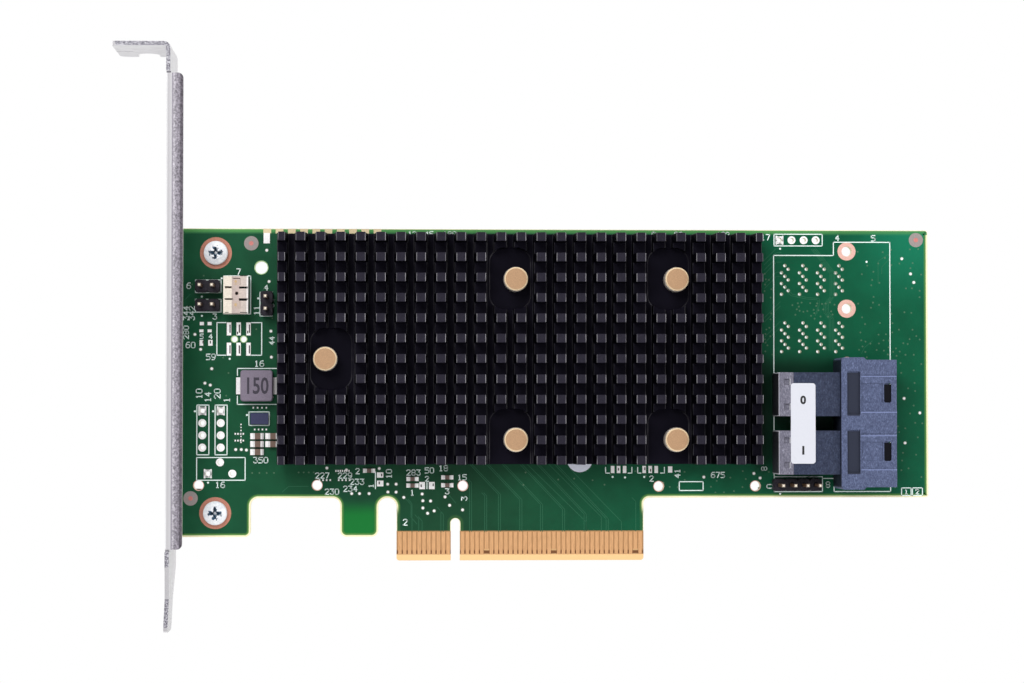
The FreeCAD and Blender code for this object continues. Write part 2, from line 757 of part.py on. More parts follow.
def make_port_housing():
    """The shell around both plug mouths, with its latch windows and slots and its board posts."""
    low, high = housing_middle_z - housing_half, housing_middle_z + housing_half
    shoulder_x = port_front_x + housing_shoulder
    outline = [
        (port_front_x, low, housing_corner_r),
        (shoulder_x - housing_step, low, 0),
        (shoulder_x, low + housing_step, 0),
        (port_mouth_x, low + housing_step, 0),
        (port_mouth_x, high - housing_step, 0),
        (shoulder_x, high - housing_step, 0),
        (shoulder_x - housing_step, high, 0),
        (port_front_x, high, housing_corner_r),
    ]
    top_y = front_y - housing_height
    shell = slab_xz(outline, top_y, front_y)
    cuts = []
    for port_z in fitted_ports:
        mouth_z = (port_z - mouth_width / 2, port_z + mouth_width / 2)
        mouth_y = (front_y - mouth_floor - mouth_height, front_y - mouth_floor)
        cuts.append(box((port_mouth_x - mouth_depth, port_mouth_x + past), mouth_y, mouth_z))
        nose_z = (port_z - nose_width / 2, port_z + nose_width / 2)
        rim = (mouth_height - nose_height) / 2 - nose_clearance
        nose_y = (mouth_y[0] + rim, mouth_y[1] - rim)
        cuts.append(box((port_front_x - past, port_mouth_x - mouth_depth), nose_y, nose_z))
        latch_z = port_z + latch_offset
        window = rectangle(latch_window_x, latch_window_x + latch_window_length,
                           latch_z - latch_window_width / 2, latch_z + latch_window_width / 2)
        cuts.append(slab_xz(window, top_y - past, top_y + latch_window_depth))
        slot = rectangle(latch_slot_x, latch_slot_x + latch_slot_length,
                         latch_z - latch_slot_width / 2, latch_z + latch_slot_width / 2, latch_slot_corner_r)
        cuts.append(slab_xz(slot, top_y - past, mouth_y[0] + past / 2))
        pad = (latch_z - latch_pad_width / 2, latch_z + latch_pad_width / 2)
        pad_x = latch_window_x + latch_window_length + latch_rib
        cuts.append(box((pad_x, port_mouth_x + past), (top_y - past, top_y + latch_relief), pad))
        inner = (latch_z - inner_relief_width / 2, latch_z + inner_relief_width / 2)
        cuts.append(box((pad_x, latch_slot_x - latch_rib), (top_y - past, top_y + 2 * latch_relief), inner))
    shell = shell.cut(cuts)
    posts = [rod(x, z, post_hole_r - post_clearance, front_y, back_y)
             for x, z in post_places()[:fitted_port_count + 1]]
    return shell.fuse(posts).removeSplitter()


def make_port_body(port_z):
    """The insulating body behind one mouth; its slotted nose reaches into the housing."""
    low, high = port_z - port_body_depth / 2, port_z + port_body_depth / 2
    rear = port_rear_x + port_cover_length
    body = box((rear, port_front_x), (front_y - port_body_height, front_y), (low, high))
    nose_top = front_y - mouth_floor - (mouth_height - nose_height) / 2 - nose_height
    nose_y = (nose_top, nose_top + nose_height)
    nose_end = port_mouth_x - mouth_depth + nose_length
    nose_half = nose_width / 2 - nose_clearance
    nose = box((port_front_x, nose_end), nose_y, (port_z - nose_half, port_z + nose_half))
    body = body.fuse(nose).removeSplitter()
    slots = []
    for middle_y in nose_slot_places():
        slots.append(box((nose_end - nose_slot_depth, nose_end + past),
                         (middle_y - nose_slot_height / 2, middle_y + nose_slot_height / 2),
                         (port_z - nose_slot_width / 2, port_z + nose_slot_width / 2)))
    return body.cut(slots)


def nose_slot_places():
    """The middle of each contact slot, along Y."""
    middle = front_y - mouth_floor - mouth_height / 2
    return (middle - nose_slot_spacing / 2, middle + nose_slot_spacing / 2)


def port_contacts(port_z):
    """Gold contacts along both sides of each slot in the nose."""
    nose_end = port_mouth_x - mouth_depth + nose_length
    contacts = []
    for middle_y in nose_slot_places():
        for side in (-1, 1):
            face = middle_y + side * nose_slot_height / 2
            ys = sorted((face, face - side * port_contact_thickness))
            for i in range(port_contact_count):
                z = port_z + (i - (port_contact_count - 1) / 2) * port_contact_pitch
                contacts.append(box((nose_end - nose_slot_depth, nose_end - nose_clearance), ys,
                                    (z - port_contact_width / 2, z + port_contact_width / 2)))
    return contacts


def make_port_cover(port_z):
    """The grey cover that closes the back of one body, with two moulding windows."""
    low, high = port_z - port_body_depth / 2, port_z + port_body_depth / 2
    outline = rectangle(port_rear_x, port_rear_x + port_cover_length, low, high)
    outline[0] = (port_rear_x, low, cover_corner_r)
    outline[3] = (port_rear_x, high, cover_corner_r)
    top_y = front_y - port_body_height
    cover = slab_xz(outline, top_y, front_y)
    x = port_rear_x + cover_window_from_rear
    windows = [box((x - cover_window / 2, x + cover_window / 2), (top_y - past, top_y + cover_window_depth),
                   (z - cover_window / 2, z + cover_window / 2))
               for z in (port_z - cover_window_spacing / 2, port_z + cover_window_spacing / 2)]
    return cover.cut(windows)


def port_pins():
    """Compliant pins from the fitted bodies through the board."""
    pins = []
    half = port_pin_size / 2
    for port_z in fitted_ports:
        for x, z in port_hole_places(port_z):
            pins.append(box((x - half, x + half), (front_y, back_y + port_pin_tail), (z - half, z + half)))
    return pins


def make_port_label():
    outline = rectangle(label_x, label_x + label_length, label_bottom, label_top, label_corner_r)
    top = front_y - port_body_height
    return slab_xz(outline, top - label_thickness, top)


# ---------------------------------------------------------------- headers and the socket

def make_header(x, z, count, along_z):
    """The black body of a pin header, notched between its pins."""
    half_long = count * header_pitch / 2
    half_wide = header_width / 2
    ys = (front_y - header_body_height, front_y)
    long_side, short_side = (-half_long, half_long), (-half_wide, half_wide)
    dx, dz = (short_side, long_side) if along_z else (long_side, short_side)
    body = box((x + dx[0], x + dx[1]), ys, (z + dz[0], z + dz[1]))
    half = header_pin / 2
    cuts = [box((px - half, px + half), (ys[0] - past, ys[1] + past), (pz - half, pz + half))
            for px, pz in header_places(x, z, count, along_z)]
    for i in range(count + 1):
        along = (i - count / 2) * header_pitch
        for side in (-1, 1):
            cx, cz = (x + side * half_wide, z + along) if along_z else (x + along, z + side * half_wide)
            corners = [(cx - header_notch, cz, 0), (cx, cz - header_notch, 0),
                       (cx + header_notch, cz, 0), (cx, cz + header_notch, 0)]
            cuts.append(slab_xz(corners, ys[0] - past, ys[1] + past))
    return body.cut(cuts)


def header_pins():
    """Square gold pins of all the headers, with tapered tips."""
    pins = []
    half = header_pin / 2
    for row in headers:
        for x, z in header_places(*row[1:]):
            top, tail = front_y - header_pin_lift, back_y + header_pin_tail
            pin = box((x - half, x + half), (top, tail), (z - half, z + half))
            tips = [edge for edge in pin.Edges
                    if abs(edge.Vertexes[0].Y - edge.Vertexes[-1].Y) < 0.01]
            pins.append(pin.makeChamfer(header_pin_tip, tips))
    return pins


def make_socket():
    """A pale keyed socket with two contacts and a plugged middle place."""
    ys = (front_y - socket_height, front_y)
    body = box(socket_x, ys, socket_z)
    half = socket_entry / 2
    cuts = [box((x - half, x + half), (ys[0] - past, ys[0] + socket_entry_depth), (z - half, z + half))
            for x, z in socket_pin_places()]
    middle = sum(z for x, z in socket_pin_places()) / 2
    cuts.append(rod(socket_contact_x, middle, socket_hole_r, ys[0] - past, ys[0] + socket_entry_depth))
    for z in (middle - socket_pitch / 2, middle + socket_pitch / 2):
        depth = (ys[0] - past, ys[0] + socket_slit_depth)
        slit = (z - socket_slit / 2, z + socket_slit / 2)
        left = (socket_x[0] + socket_wall, socket_x[0] + socket_wall + socket_left_slit_length)
        right = (socket_x[1] - socket_right_slit_length, socket_x[1] + past)
        cuts += [box(left, depth, slit), box(right, depth, slit)]
    return body.cut(cuts)


def socket_contacts():
    """The two gold contacts in the socket, with tails through the board."""
    contacts = []
    for x, z in socket_pin_places():
        floor = front_y - socket_height + socket_entry_depth
        stem = rod(x, z, socket_contact_r, front_y, back_y + socket_pin_tail)
        reach = (x - fork_length / 2, x + fork_length / 2)
        mouth = front_y - socket_height
        fork = box(reach, (mouth + fork_sink, floor), (z - fork_width / 2, z + fork_width / 2))
        gap = box(reach, (mouth, floor - fork_gap), (z - fork_gap / 2, z + fork_gap / 2))
        contacts += [stem, fork.cut(gap)]
    return contacts


# ---------------------------------------------------------------- surface-mounted parts

def chip_part(centre, size, end, along_z=False, back=False):
    """A two-terminal chip: its middle and its two metal ends, on either face of the board."""
    length, width, height = size
    face = back_y if back else front_y - height
    ys = (face, face + height)
    spans = ((-length / 2, -length / 2 + end), (-length / 2 + end, length / 2 - end),
             (length / 2 - end, length / 2))
    blocks = []
    for low, high in spans:
        across, along = (-width / 2, width / 2), (low, high)
        dx, dz = (across, along) if along_z else (along, across)
        blocks.append(box((centre[0] + dx[0], centre[0] + dx[1]), ys, (centre[1] + dz[0], centre[1] + dz[1])))
    return blocks[1], [blocks[0], blocks[2]]


def chip_group(places, size, end, along_z=False, back=False):
    middles, ends = [], []
    for place in places:
        middle, pair = chip_part(place, size, end, along_z, back)
        middles.append(middle)
        ends += pair
    return middles, ends


def make_inductor():
    half_x, half_z = inductor_size[0] / 2, inductor_size[1] / 2
    x, z = inductor_centre
    outline = rectangle(x - half_x, x + half_x, z - half_z, z + half_z, inductor_corner_r)
    top = front_y - inductor_height
    body = slab_xz(outline, top, front_y - inductor_lift)
    rim = [edge for edge in body.Edges if all(abs(v.Y - top) < 0.01 for v in edge.Vertexes)]
    return body.makeFillet(inductor_rim_r, rim)


def inductor_terminals():
    """Flat terminals under the inductor, one at each end."""
    x, z = inductor_centre
    half = inductor_terminal_width / 2
    reach = inductor_size[0] / 2 + inductor_terminal_reach
    inner = inductor_size[0] / 2 - inductor_terminal_under
    ys = (front_y - inductor_terminal_thickness, front_y)
    return [box(sorted((x + side * inner, x + side * reach)), ys, (z - half, z + half))
            for side in (-1, 1)]


def leaded_chip(centre, size):
    """A small-outline chip body with a chamfered rim, and its eight leads."""
    width, depth, height = size
    body = centred_block(centre, (width, depth), lead_thickness / 2, height - lead_thickness / 2)
    top = front_y - height
    rim = [edge for edge in body.Edges if all(abs(v.Y - top) < 0.01 for v in edge.Vertexes)]
    body = body.makeChamfer(lead_thickness, rim)
    leads = []
    for side in (-1, 1):
        for i in range(leads_a_side):
            z = centre[1] + (i - (leads_a_side - 1) / 2) * lead_pitch
            x = centre[0] + side * (width + lead_length) / 2
            leads.append(centred_block((x, z), (lead_length, lead_width), 0, lead_thickness))
    return body, leads


# ---------------------------------------------------------------- build and write every node

save("circuit_board", make_board())
save("edge_contacts_front", edge_contacts(front_y, -1, presence_contacts))
save("edge_contacts_back", edge_contacts(back_y, 1, back_presence_contacts))
save("top_edge_pads", edge_pads())
save("mounting_bracket", make_bracket())
save("bracket_screws", [make_bracket_screw(z) for z in bracket_screw_z])
save("heatsink", make_heatsink())
save("push_pins", [make_push_pin(x, z) for x, z in anchors])
save("push_pin_springs", [make_spring(x, z) for x, z in anchors])

square = (controller_size, controller_size)
die_square = (die_size, die_size)
save("controller_substrate", centred_block(controller_centre, square, substrate_lift, substrate_thickness))
save("controller_solder_balls", [
    rod(controller_centre[0] + (i - (ball_count - 1) / 2) * ball_pitch,
        controller_centre[1] + (j - (ball_count - 1) / 2) * ball_pitch,
        ball_r, front_y - substrate_lift, front_y) for i in range(ball_count) for j in range(ball_count)])
die_lift = substrate_lift + substrate_thickness
save("controller_lid", centred_block(controller_centre, die_square, die_lift, die_thickness))
save("thermal_pad", centred_block(controller_centre, die_square, chip_top_lift, thermal_pad_thickness))

save("port_housing", make_port_housing())
for name, port_z in zip(("upper", "lower"), fitted_ports):
    save("port_body_" + name, make_port_body(port_z))
    save("port_cover_" + name, make_port_cover(port_z))
    save("port_contacts_" + name, port_contacts(port_z))
save("port_pins", port_pins())
save("port_label", make_port_label())

for node, x, z, count, along_z in headers:
    save(node, make_header(x, z, count, along_z))
save("header_pins", header_pins())
save("keyed_socket", make_socket())
save("keyed_socket_contacts", socket_contacts())

save("power_inductor", make_inductor())
save("power_inductor_terminals", inductor_terminals())
save("regulator_chip", centred_block(regulator_centre, regulator_size, 0, regulator_height))

capacitor_places = [(capacitor_x[0], capacitor_z - i * capacitor_pitch) for i in range(3)]
capacitor_places += [(capacitor_x[1], capacitor_z - i * capacitor_pitch) for i in range(2)]
middles, ends = chip_group(capacitor_places, capacitor_size, capacitor_end)
save("ceramic_capacitors", middles)
save("ceramic_capacitor_ends", ends)
middles, ends = chip_group(fuses, fuse_size, fuse_end)
save("chip_fuses", middles)
save("chip_fuse_ends", ends)

back_places = [(controller_centre[0] + (i - (back_columns - 1) / 2) * back_pitch[0],
                controller_centre[1] + (j - (back_rows - 1) / 2) * back_pitch[1])
               for i in range(back_columns) for j in range(back_rows)]
middles, ends = chip_group(back_places, small_size, small_end, back=True)
save("back_capacitors", middles)
save("back_capacitor_ends", ends)

flash_body, flash_leads = leaded_chip(flash_centre, flash_size)
save("flash_chip", flash_body)
save("flash_chip_leads", flash_leads)
save("memory_chip", centred_block(memory_centre, memory_size[:2], 0, memory_size[2]))
coil_z = heatsink_top - hidden_coil_below
save("hidden_inductors", [centred_block((x, coil_z), hidden_coil_size[:2], 0, hidden_coil_size[2])
                          for x in hidden_coil_x])
save("round_sticker", rod(*sticker_centre, sticker_r, front_y - sticker_thickness, front_y))
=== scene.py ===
import math
import random

import bmesh
import bpy
from mathutils import Matrix, Vector


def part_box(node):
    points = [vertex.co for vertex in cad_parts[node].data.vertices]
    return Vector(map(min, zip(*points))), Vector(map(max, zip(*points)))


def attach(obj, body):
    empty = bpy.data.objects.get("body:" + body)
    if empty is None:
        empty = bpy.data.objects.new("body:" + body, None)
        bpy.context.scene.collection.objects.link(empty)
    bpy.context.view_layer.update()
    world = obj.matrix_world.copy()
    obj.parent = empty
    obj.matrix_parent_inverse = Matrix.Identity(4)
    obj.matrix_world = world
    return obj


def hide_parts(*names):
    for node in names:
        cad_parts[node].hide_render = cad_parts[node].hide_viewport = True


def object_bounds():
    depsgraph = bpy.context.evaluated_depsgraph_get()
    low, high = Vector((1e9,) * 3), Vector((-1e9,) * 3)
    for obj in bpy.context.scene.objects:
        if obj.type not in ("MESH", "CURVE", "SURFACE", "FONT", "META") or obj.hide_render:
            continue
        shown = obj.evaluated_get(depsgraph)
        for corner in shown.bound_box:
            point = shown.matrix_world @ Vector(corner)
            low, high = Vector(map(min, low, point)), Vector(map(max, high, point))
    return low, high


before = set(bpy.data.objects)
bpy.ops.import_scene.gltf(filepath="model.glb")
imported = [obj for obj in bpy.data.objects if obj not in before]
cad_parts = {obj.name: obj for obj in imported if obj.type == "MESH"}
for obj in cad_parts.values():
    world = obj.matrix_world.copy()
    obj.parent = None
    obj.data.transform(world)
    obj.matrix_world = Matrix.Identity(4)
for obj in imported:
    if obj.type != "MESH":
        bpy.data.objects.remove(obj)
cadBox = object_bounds()
mm = 0.001

# Every place below is in millimetres, in the frame's own axes.
boardLow, boardHigh = [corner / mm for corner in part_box("circuit_board")]
frontY, backY = boardLow.y, boardHigh.y
boardFaces = ((frontY, -1), (backY, 1))     # each face's place and the way it looks along Y
boardTop, boardLeft, boardRight = boardHigh.z, boardLow.x, boardHigh.x
print("frame loaded:", len(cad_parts), "nodes")


# Camera, lamps, floor and world.
studio = {
    "lens": 94.99,
    "sensorWidth": 36.0,
    "seenFrom": 0.01,       # metres, as the camera's clipping is
    "seenTo": 20.0,
    "cameraPlace": (-12.7, -562.9, 30.4),
    "yaw": 2.494,           # degrees towards +X
    "pitch": 1.538,         # degrees upwards
    "floorDrop": 60.0,      # the floor lies this far under the bracket's tongue
    "floorSize": 6000.0,
    "floorColor": (0.92, 0.92, 0.92),
    "floorRoughness": 0.9,
    "worldStrength": 0.60,
    "keyPlace": (-260.0, -720.0, 470.0),
    "keySize": 420.0,
    "keyPower": 4.6,
    "fillPlace": (560.0, -560.0, 120.0),
    "fillSize": 500.0,
    "fillPower": 1.4,
    "aim": (15.0, 0.0, 40.0),
    "flagPlace": (0.0, -900.0, 40.0),   # dark card that glossy faces turned to the lens see
    "flagSize": (2600.0, 2000.0),
    "flagColor": (0.02, 0.02, 0.022),
}


def linkObject(thing):
    bpy.context.scene.collection.objects.link(thing)
    return thing


def linkMesh(name, bm, material):
    mesh = bpy.data.meshes.new(name)
    bm.to_mesh(mesh)
    bm.free()
    mesh.materials.append(material)
    return linkObject(bpy.data.objects.new(name, mesh))


def makeCamera(s):
    data = bpy.data.cameras.new("camera")
    data.lens, data.sensor_width = s["lens"], s["sensorWidth"]
    data.clip_start, data.clip_end = s["seenFrom"], s["seenTo"]
    camera = linkObject(bpy.data.objects.new("camera", data))
    camera.location = Vector(s["cameraPlace"]) * mm
    camera.rotation_euler = (math.radians(90 + s["pitch"]), 0, -math.radians(s["yaw"]))
    bpy.context.scene.camera = camera


def makeAreaLight(name, place, target, size, power):
    data = bpy.data.lights.new(name, "AREA")
    data.shape = "SQUARE"
    data.size = size * mm
    data.energy = power
    light = linkObject(bpy.data.objects.new(name, data))
    light.location = Vector(place) * mm
    light.rotation_euler = (Vector(target) - Vector(place)).to_track_quat("-Z", "Y").to_euler()


def addNode(tree, kind, **settings):
    node = tree.nodes.new("ShaderNode" + kind)
    for key, value in settings.items():
        setattr(node, key, value)
    return node


def makeWhiteWorld(strength):
    world = bpy.data.worlds.new("whiteStudio")
    bpy.context.scene.world = world
    world.use_nodes = True
    tree = world.node_tree
    tree.nodes.clear()
    lighting, seen = addNode(tree, "Background"), addNode(tree, "Background")
    lighting.inputs["Color"].default_value = seen.inputs["Color"].default_value = (1, 1, 1, 1)
    lighting.inputs["Strength"].default_value = strength
    seen.inputs["Strength"].default_value = 1.0
    path = addNode(tree, "LightPath")
    rays = path.outputs["Is Camera Ray"]
    for other in ("Is Glossy Ray", "Is Transmission Ray"):
        either = addNode(tree, "Math", operation="MAXIMUM")
        tree.links.new(rays, either.inputs[0])
        tree.links.new(path.outputs[other], either.inputs[1])
        rays = either.outputs[0]
    mix = addNode(tree, "MixShader")
    tree.links.new(rays, mix.inputs[0])
    tree.links.new(lighting.outputs[0], mix.inputs[1])
    tree.links.new(seen.outputs[0], mix.inputs[2])
    tree.links.new(mix.outputs[0], addNode(tree, "OutputWorld").inputs["Surface"])


def newMaterial(name, color, roughness, metallic=0.0, specular=0.5):
    material = bpy.data.materials.new(name)
    material.use_nodes = True
    surface = material.node_tree.nodes["Principled BSDF"]
    surface.inputs["Base Color"].default_value = (*color, 1)
    surface.inputs["Roughness"].default_value = roughness
    surface.inputs["Metallic"].default_value = metallic
    surface.inputs["Specular IOR Level"].default_value = specular
    return material, material.node_tree, surface


def makeFloor(s):
    bm = bmesh.new()
    bmesh.ops.create_grid(bm, x_segments=1, y_segments=1, size=s["floorSize"] / 2 * mm)
    bmesh.ops.translate(bm, verts=bm.verts, vec=(0, 0, cadBox[0].z - s["floorDrop"] * mm))
    material, tree, surface = newMaterial("paleFloor", s["floorColor"], s["floorRoughness"])
    white, path, mix = addNode(tree, "Emission"), addNode(tree, "LightPath"), addNode(tree, "MixShader")
    tree.links.new(path.outputs["Is Camera Ray"], mix.inputs[0])
    tree.links.new(surface.outputs[0], mix.inputs[1])
    tree.links.new(white.outputs[0], mix.inputs[2])
    tree.links.new(mix.outputs[0], tree.nodes["Material Output"].inputs["Surface"])
    linkMesh("floor", bm, material)


def makeFlag(s):
    bm = bmesh.new()
    turn = Matrix.Rotation(math.pi / 2, 4, "X")
    bmesh.ops.create_grid(bm, x_segments=1, y_segments=1, size=0.5, matrix=turn)
    bmesh.ops.scale(bm, verts=bm.verts, vec=(s["flagSize"][0] * mm, 1, s["flagSize"][1] * mm))
    bmesh.ops.translate(bm, verts=bm.verts, vec=Vector(s["flagPlace"]) * mm)
    flag = linkMesh("darkFlag", bm, newMaterial("darkCloth", s["flagColor"], 1.0, 0.0, 0.0)[0])
    flag.visible_camera = flag.visible_diffuse = False
    flag.visible_shadow = flag.visible_transmission = False


bpy.context.scene.view_settings.view_transform = "Standard"
makeCamera(studio)
makeWhiteWorld(studio["worldStrength"])
makeFloor(studio)
makeFlag(studio)
for lamp in ("key", "fill"):
    makeAreaLight(lamp + "Light", studio[lamp + "Place"], studio["aim"], studio[lamp + "Size"],
                  studio[lamp + "Power"])
print("camera, lamps, floor and world made")


# Helpers for materials. Patterns read the piece's place in millimetres.
def plug(tree, socket, value):
    if isinstance(value, bpy.types.NodeSocket):
        tree.links.new(value, socket)
    elif isinstance(value, tuple):
        socket.default_value = (*value, 1)
    else:
        socket.default_value = value


def objectPoints(tree, stretch=(1, 1, 1)):
    mapping = addNode(tree, "Mapping")
    mapping.inputs["Scale"].default_value = [s / mm for s in stretch]
    tree.links.new(addNode(tree, "TexCoord").outputs["Object"], mapping.inputs["Vector"])
    return mapping.outputs["Vector"]


def splitPoints(tree):
    split = addNode(tree, "SeparateXYZ")
    tree.links.new(objectPoints(tree), split.inputs[0])
    return split.outputs[0], split.outputs[1], split.outputs[2]


def splitNormal(tree):
    split = addNode(tree, "SeparateXYZ")
    tree.links.new(addNode(tree, "NewGeometry").outputs["Normal"], split.inputs[0])
    return split.outputs[0], split.outputs[1], split.outputs[2]


def grain(tree, scale, detail=3.0, stretch=(1, 1, 1), rough=0.6):
    node = addNode(tree, "TexNoise")
    node.inputs["Scale"].default_value = scale
    node.inputs["Detail"].default_value = detail
    node.inputs["Roughness"].default_value = rough
    tree.links.new(objectPoints(tree, stretch), node.inputs["Vector"])
    return node.outputs["Fac"]


def grade(tree, factor, *stops):
    node = addNode(tree, "ValToRGB")
    elements = node.color_ramp.elements
    while len(elements) < len(stops):
        elements.new(1.0)
    for element, (place, color) in zip(elements, stops):
        element.position = place
        element.color = (*color, 1)
    tree.links.new(factor, node.inputs[0])
    return node.outputs["Color"]


def mixColor(tree, factor, first, second, how="MIX"):
    node = addNode(tree, "Mix", data_type="RGBA", blend_type=how)
    for socket, value in zip((node.inputs[0], node.inputs[6], node.inputs[7]), (factor, first, second)):
        plug(tree, socket, value)
    return node.outputs[2]


def calc(tree, how, first, second=0.0):
    node = addNode(tree, "Math", operation=how)
    plug(tree, node.inputs[0], first)
    plug(tree, node.inputs[1], second)
    return node.outputs[0]


def between(tree, value, low, high, soft=0.02):
    return calc(tree, "MULTIPLY", rises(tree, value, low - soft, low + soft),
                rises(tree, value, high - soft, high + soft, 1.0, 0.0))


def rises(tree, value, low, high, start=0.0, end=1.0):      # eased at both ends
    node = addNode(tree, "MapRange", interpolation_type="SMOOTHSTEP")
    for key, number in (("From Min", low), ("From Max", high), ("To Min", start), ("To Max", end)):
        node.inputs[key].default_value = number
    tree.links.new(value, node.inputs["Value"])
    return node.outputs["Result"]


def spread(tree, value, low, high):     # straight, so that a ramp's stops keep their places
    node = addNode(tree, "MapRange")
    node.inputs["From Min"].default_value = low
    node.inputs["From Max"].default_value = high
    tree.links.new(value, node.inputs["Value"])
    return node.outputs["Result"]


def addBump(tree, surface, height, depth, strength=1.0):
    node = addNode(tree, "Bump")
    node.inputs["Strength"].default_value = strength
    node.inputs["Distance"].default_value = depth * mm
    tree.links.new(height, node.inputs["Height"])
    tree.links.new(node.outputs["Normal"], surface.inputs["Normal"])


def scaled(color, by):
    return tuple(min(1.0, channel * by) for channel in color)


def grainyMaterial(name, color, roughness, metallic=0.0, specular=0.5, scale=6.0, amount=0.15,
                   depth=0.01, stretch=(1, 1, 1)):
    material, tree, surface = newMaterial(name, color, roughness, metallic, specular)
    fine = grain(tree, scale, 4.0, stretch)
    tone = grade(tree, fine, (0.3, scaled(color, 1 - amount)), (0.7, scaled(color, 1 + amount)))
    tree.links.new(tone, surface.inputs["Base Color"])
    rough = rises(tree, fine, 0.3, 0.7, roughness - 0.06, roughness + 0.08)
    tree.links.new(rough, surface.inputs["Roughness"])
    addBump(tree, surface, fine, depth)
    return material


# Helpers for shapes, all in millimetres until a piece is finished.
sunk = 0.006        # how deep a printed or plated piece reaches into what carries it


def finishPiece(bm, name, material, replaced=(), smooth=False):
    bmesh.ops.scale(bm, vec=(mm, mm, mm), verts=bm.verts)
    piece = linkMesh(name, bm, material)
    if smooth:
        piece.data.shade_smooth()
    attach(piece, "root")
    if replaced:
        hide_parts(*replaced)


def dress(node, material):
    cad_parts[node].data.materials.clear()
    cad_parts[node].data.materials.append(material)


def mergedCopy(node, flatWithin=1.0):
    bm = bmesh.new()
    bm.from_mesh(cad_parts[node].data)
    bmesh.ops.scale(bm, verts=bm.verts, vec=(1 / mm, 1 / mm, 1 / mm))
    bmesh.ops.remove_doubles(bm, verts=bm.verts, dist=0.004)
    bmesh.ops.dissolve_limit(bm, angle_limit=math.radians(flatWithin), use_dissolve_boundaries=False,
                             verts=bm.verts, edges=bm.edges)
    return bm


def softenEdges(bm, width, segments=1, sharper=35.0):      # bevels what turns by more than this many degrees
    sharp = [edge for edge in bm.edges
             if len(edge.link_faces) == 2 and edge.calc_face_angle(0) > math.radians(sharper)]
    bmesh.ops.bevel(bm, geom=sharp, offset=width, offset_type="OFFSET", affect="EDGES", segments=segments,
                    profile=0.5, material=-1, clamp_overlap=True)


def addPlate(bm, x0, x1, z0, z1, thick, face=frontY, side=-1):
    middle = face + side * (thick - sunk) / 2
    place = Matrix.Translation(((x0 + x1) / 2, middle, (z0 + z1) / 2))
    size = Matrix.Diagonal((abs(x1 - x0), thick + sunk, abs(z1 - z0), 1))
    bmesh.ops.create_cube(bm, size=1.0, matrix=place @ size)


def addStroke(bm, points, width, thick, face=frontY, side=-1):
    for (x0, z0), (x1, z1) in zip(points, points[1:]):
        length = math.hypot(x1 - x0, z1 - z0) + width * 0.8
        turn = Matrix.Rotation(-math.atan2(z1 - z0, x1 - x0), 4, "Y")
        place = Matrix.Translation(((x0 + x1) / 2, face + side * (thick - sunk) / 2, (z0 + z1) / 2))
        size = Matrix.Diagonal((length, thick + sunk, width, 1))
        bmesh.ops.create_cube(bm, size=1.0, matrix=place @ turn @ size)


def addFrame(bm, x0, x1, z0, z1, width, thick):
    addStroke(bm, [(x0, z0), (x1, z0), (x1, z1), (x0, z1), (x0, z0)], width, thick)


def addDisc(bm, x, z, radius, thick, sides=14, face=frontY, side=-1):
    place = Matrix.Translation((x, face + side * (thick - sunk) / 2, z))
    bmesh.ops.create_cone(bm, cap_ends=True, cap_tris=False, segments=sides, radius1=radius, radius2=radius,
                          depth=thick + sunk, matrix=place @ Matrix.Rotation(math.pi / 2, 4, "X"))


def addRing(bm, x, z, inner, outer, thick, sides=20, face=frontY, side=-1):
    low, high = face - side * sunk, face + side * thick
    corners = ((inner, low), (outer, low), (outer, high), (inner, high))
    section = [bm.verts.new((x + r, y, z)) for r, y in corners]
    rim = [bm.edges.new((section[i], section[(i + 1) % 4])) for i in range(4)]
    bmesh.ops.spin(bm, geom=section + rim, cent=(x, 0, z), axis=(0, 1, 0), angle=2 * math.pi, steps=sides,
                   use_merge=True)


def addRings(bm, places, inner, outers, thick, sides):      # front and back, outers gives both radii
    for x, z in places:
        for (face, side), outer in zip(boardFaces, outers):
            addRing(bm, x, z, inner, outer, thick, sides, face, side)


glyphSteps = {"high": 6, "advance": 5.6, "gap": 1.6}        # digits are drawn on a grid 4 wide and 6 high
digitStrokes = {
    "0": [[(1, 0), (3, 0), (4, 1), (4, 5), (3, 6), (1, 6), (0, 5), (0, 1), (1, 0)]],
    "1": [[(1, 5), (2, 6), (2, 0)], [(1, 0), (3, 0)]],
    "2": [[(0, 5), (1, 6), (3, 6), (4, 5), (4, 4), (0, 0), (4, 0)]],
    "3": [[(0, 6), (4, 6), (2, 3.5), (3, 3.5), (4, 2.5), (4, 1), (3, 0), (1, 0), (0, 1)]],
    "4": [[(3, 0), (3, 6), (0, 2), (4, 2)]],
    "5": [[(4, 6), (0, 6), (0, 3.5), (3, 3.5), (4, 2.5), (4, 1), (3, 0), (0, 0)]],
    "6": [[(3.5, 6), (1.5, 6), (0, 4), (0, 1), (1, 0), (3, 0), (4, 1), (4, 2.5), (3, 3.5), (0, 3.5)]],
    "7": [[(0, 6), (4, 6), (1.5, 0)]],
    "8": [[(1, 3), (0, 4), (0, 5), (1, 6), (3, 6), (4, 5), (4, 4), (3, 3), (1, 3), (0, 2), (0, 1), (1, 0),
           (3, 0), (4, 1), (4, 2), (3, 3)]],
    "9": [[(0.5, 0), (2.5, 0), (4, 2), (4, 5), (3, 6), (1, 6), (0, 5), (0, 3.5), (1, 2.5), (4, 2.5)]],
}


def addNumber(bm, text, x, z, height, upright, width, thick):
    unit = height / glyphSteps["high"]
    advance = glyphSteps["advance"] * unit
    total = advance * len(text) - glyphSteps["gap"] * unit
    for index, digit in enumerate(text):
        for line in digitStrokes[digit]:
            points = []
            for u, v in line:
                along, across = index * advance + u * unit - total / 2, v * unit - height / 2
                points.append((x + along, z + across) if upright else (x - across, z + along))
            addStroke(bm, points, width, thick)


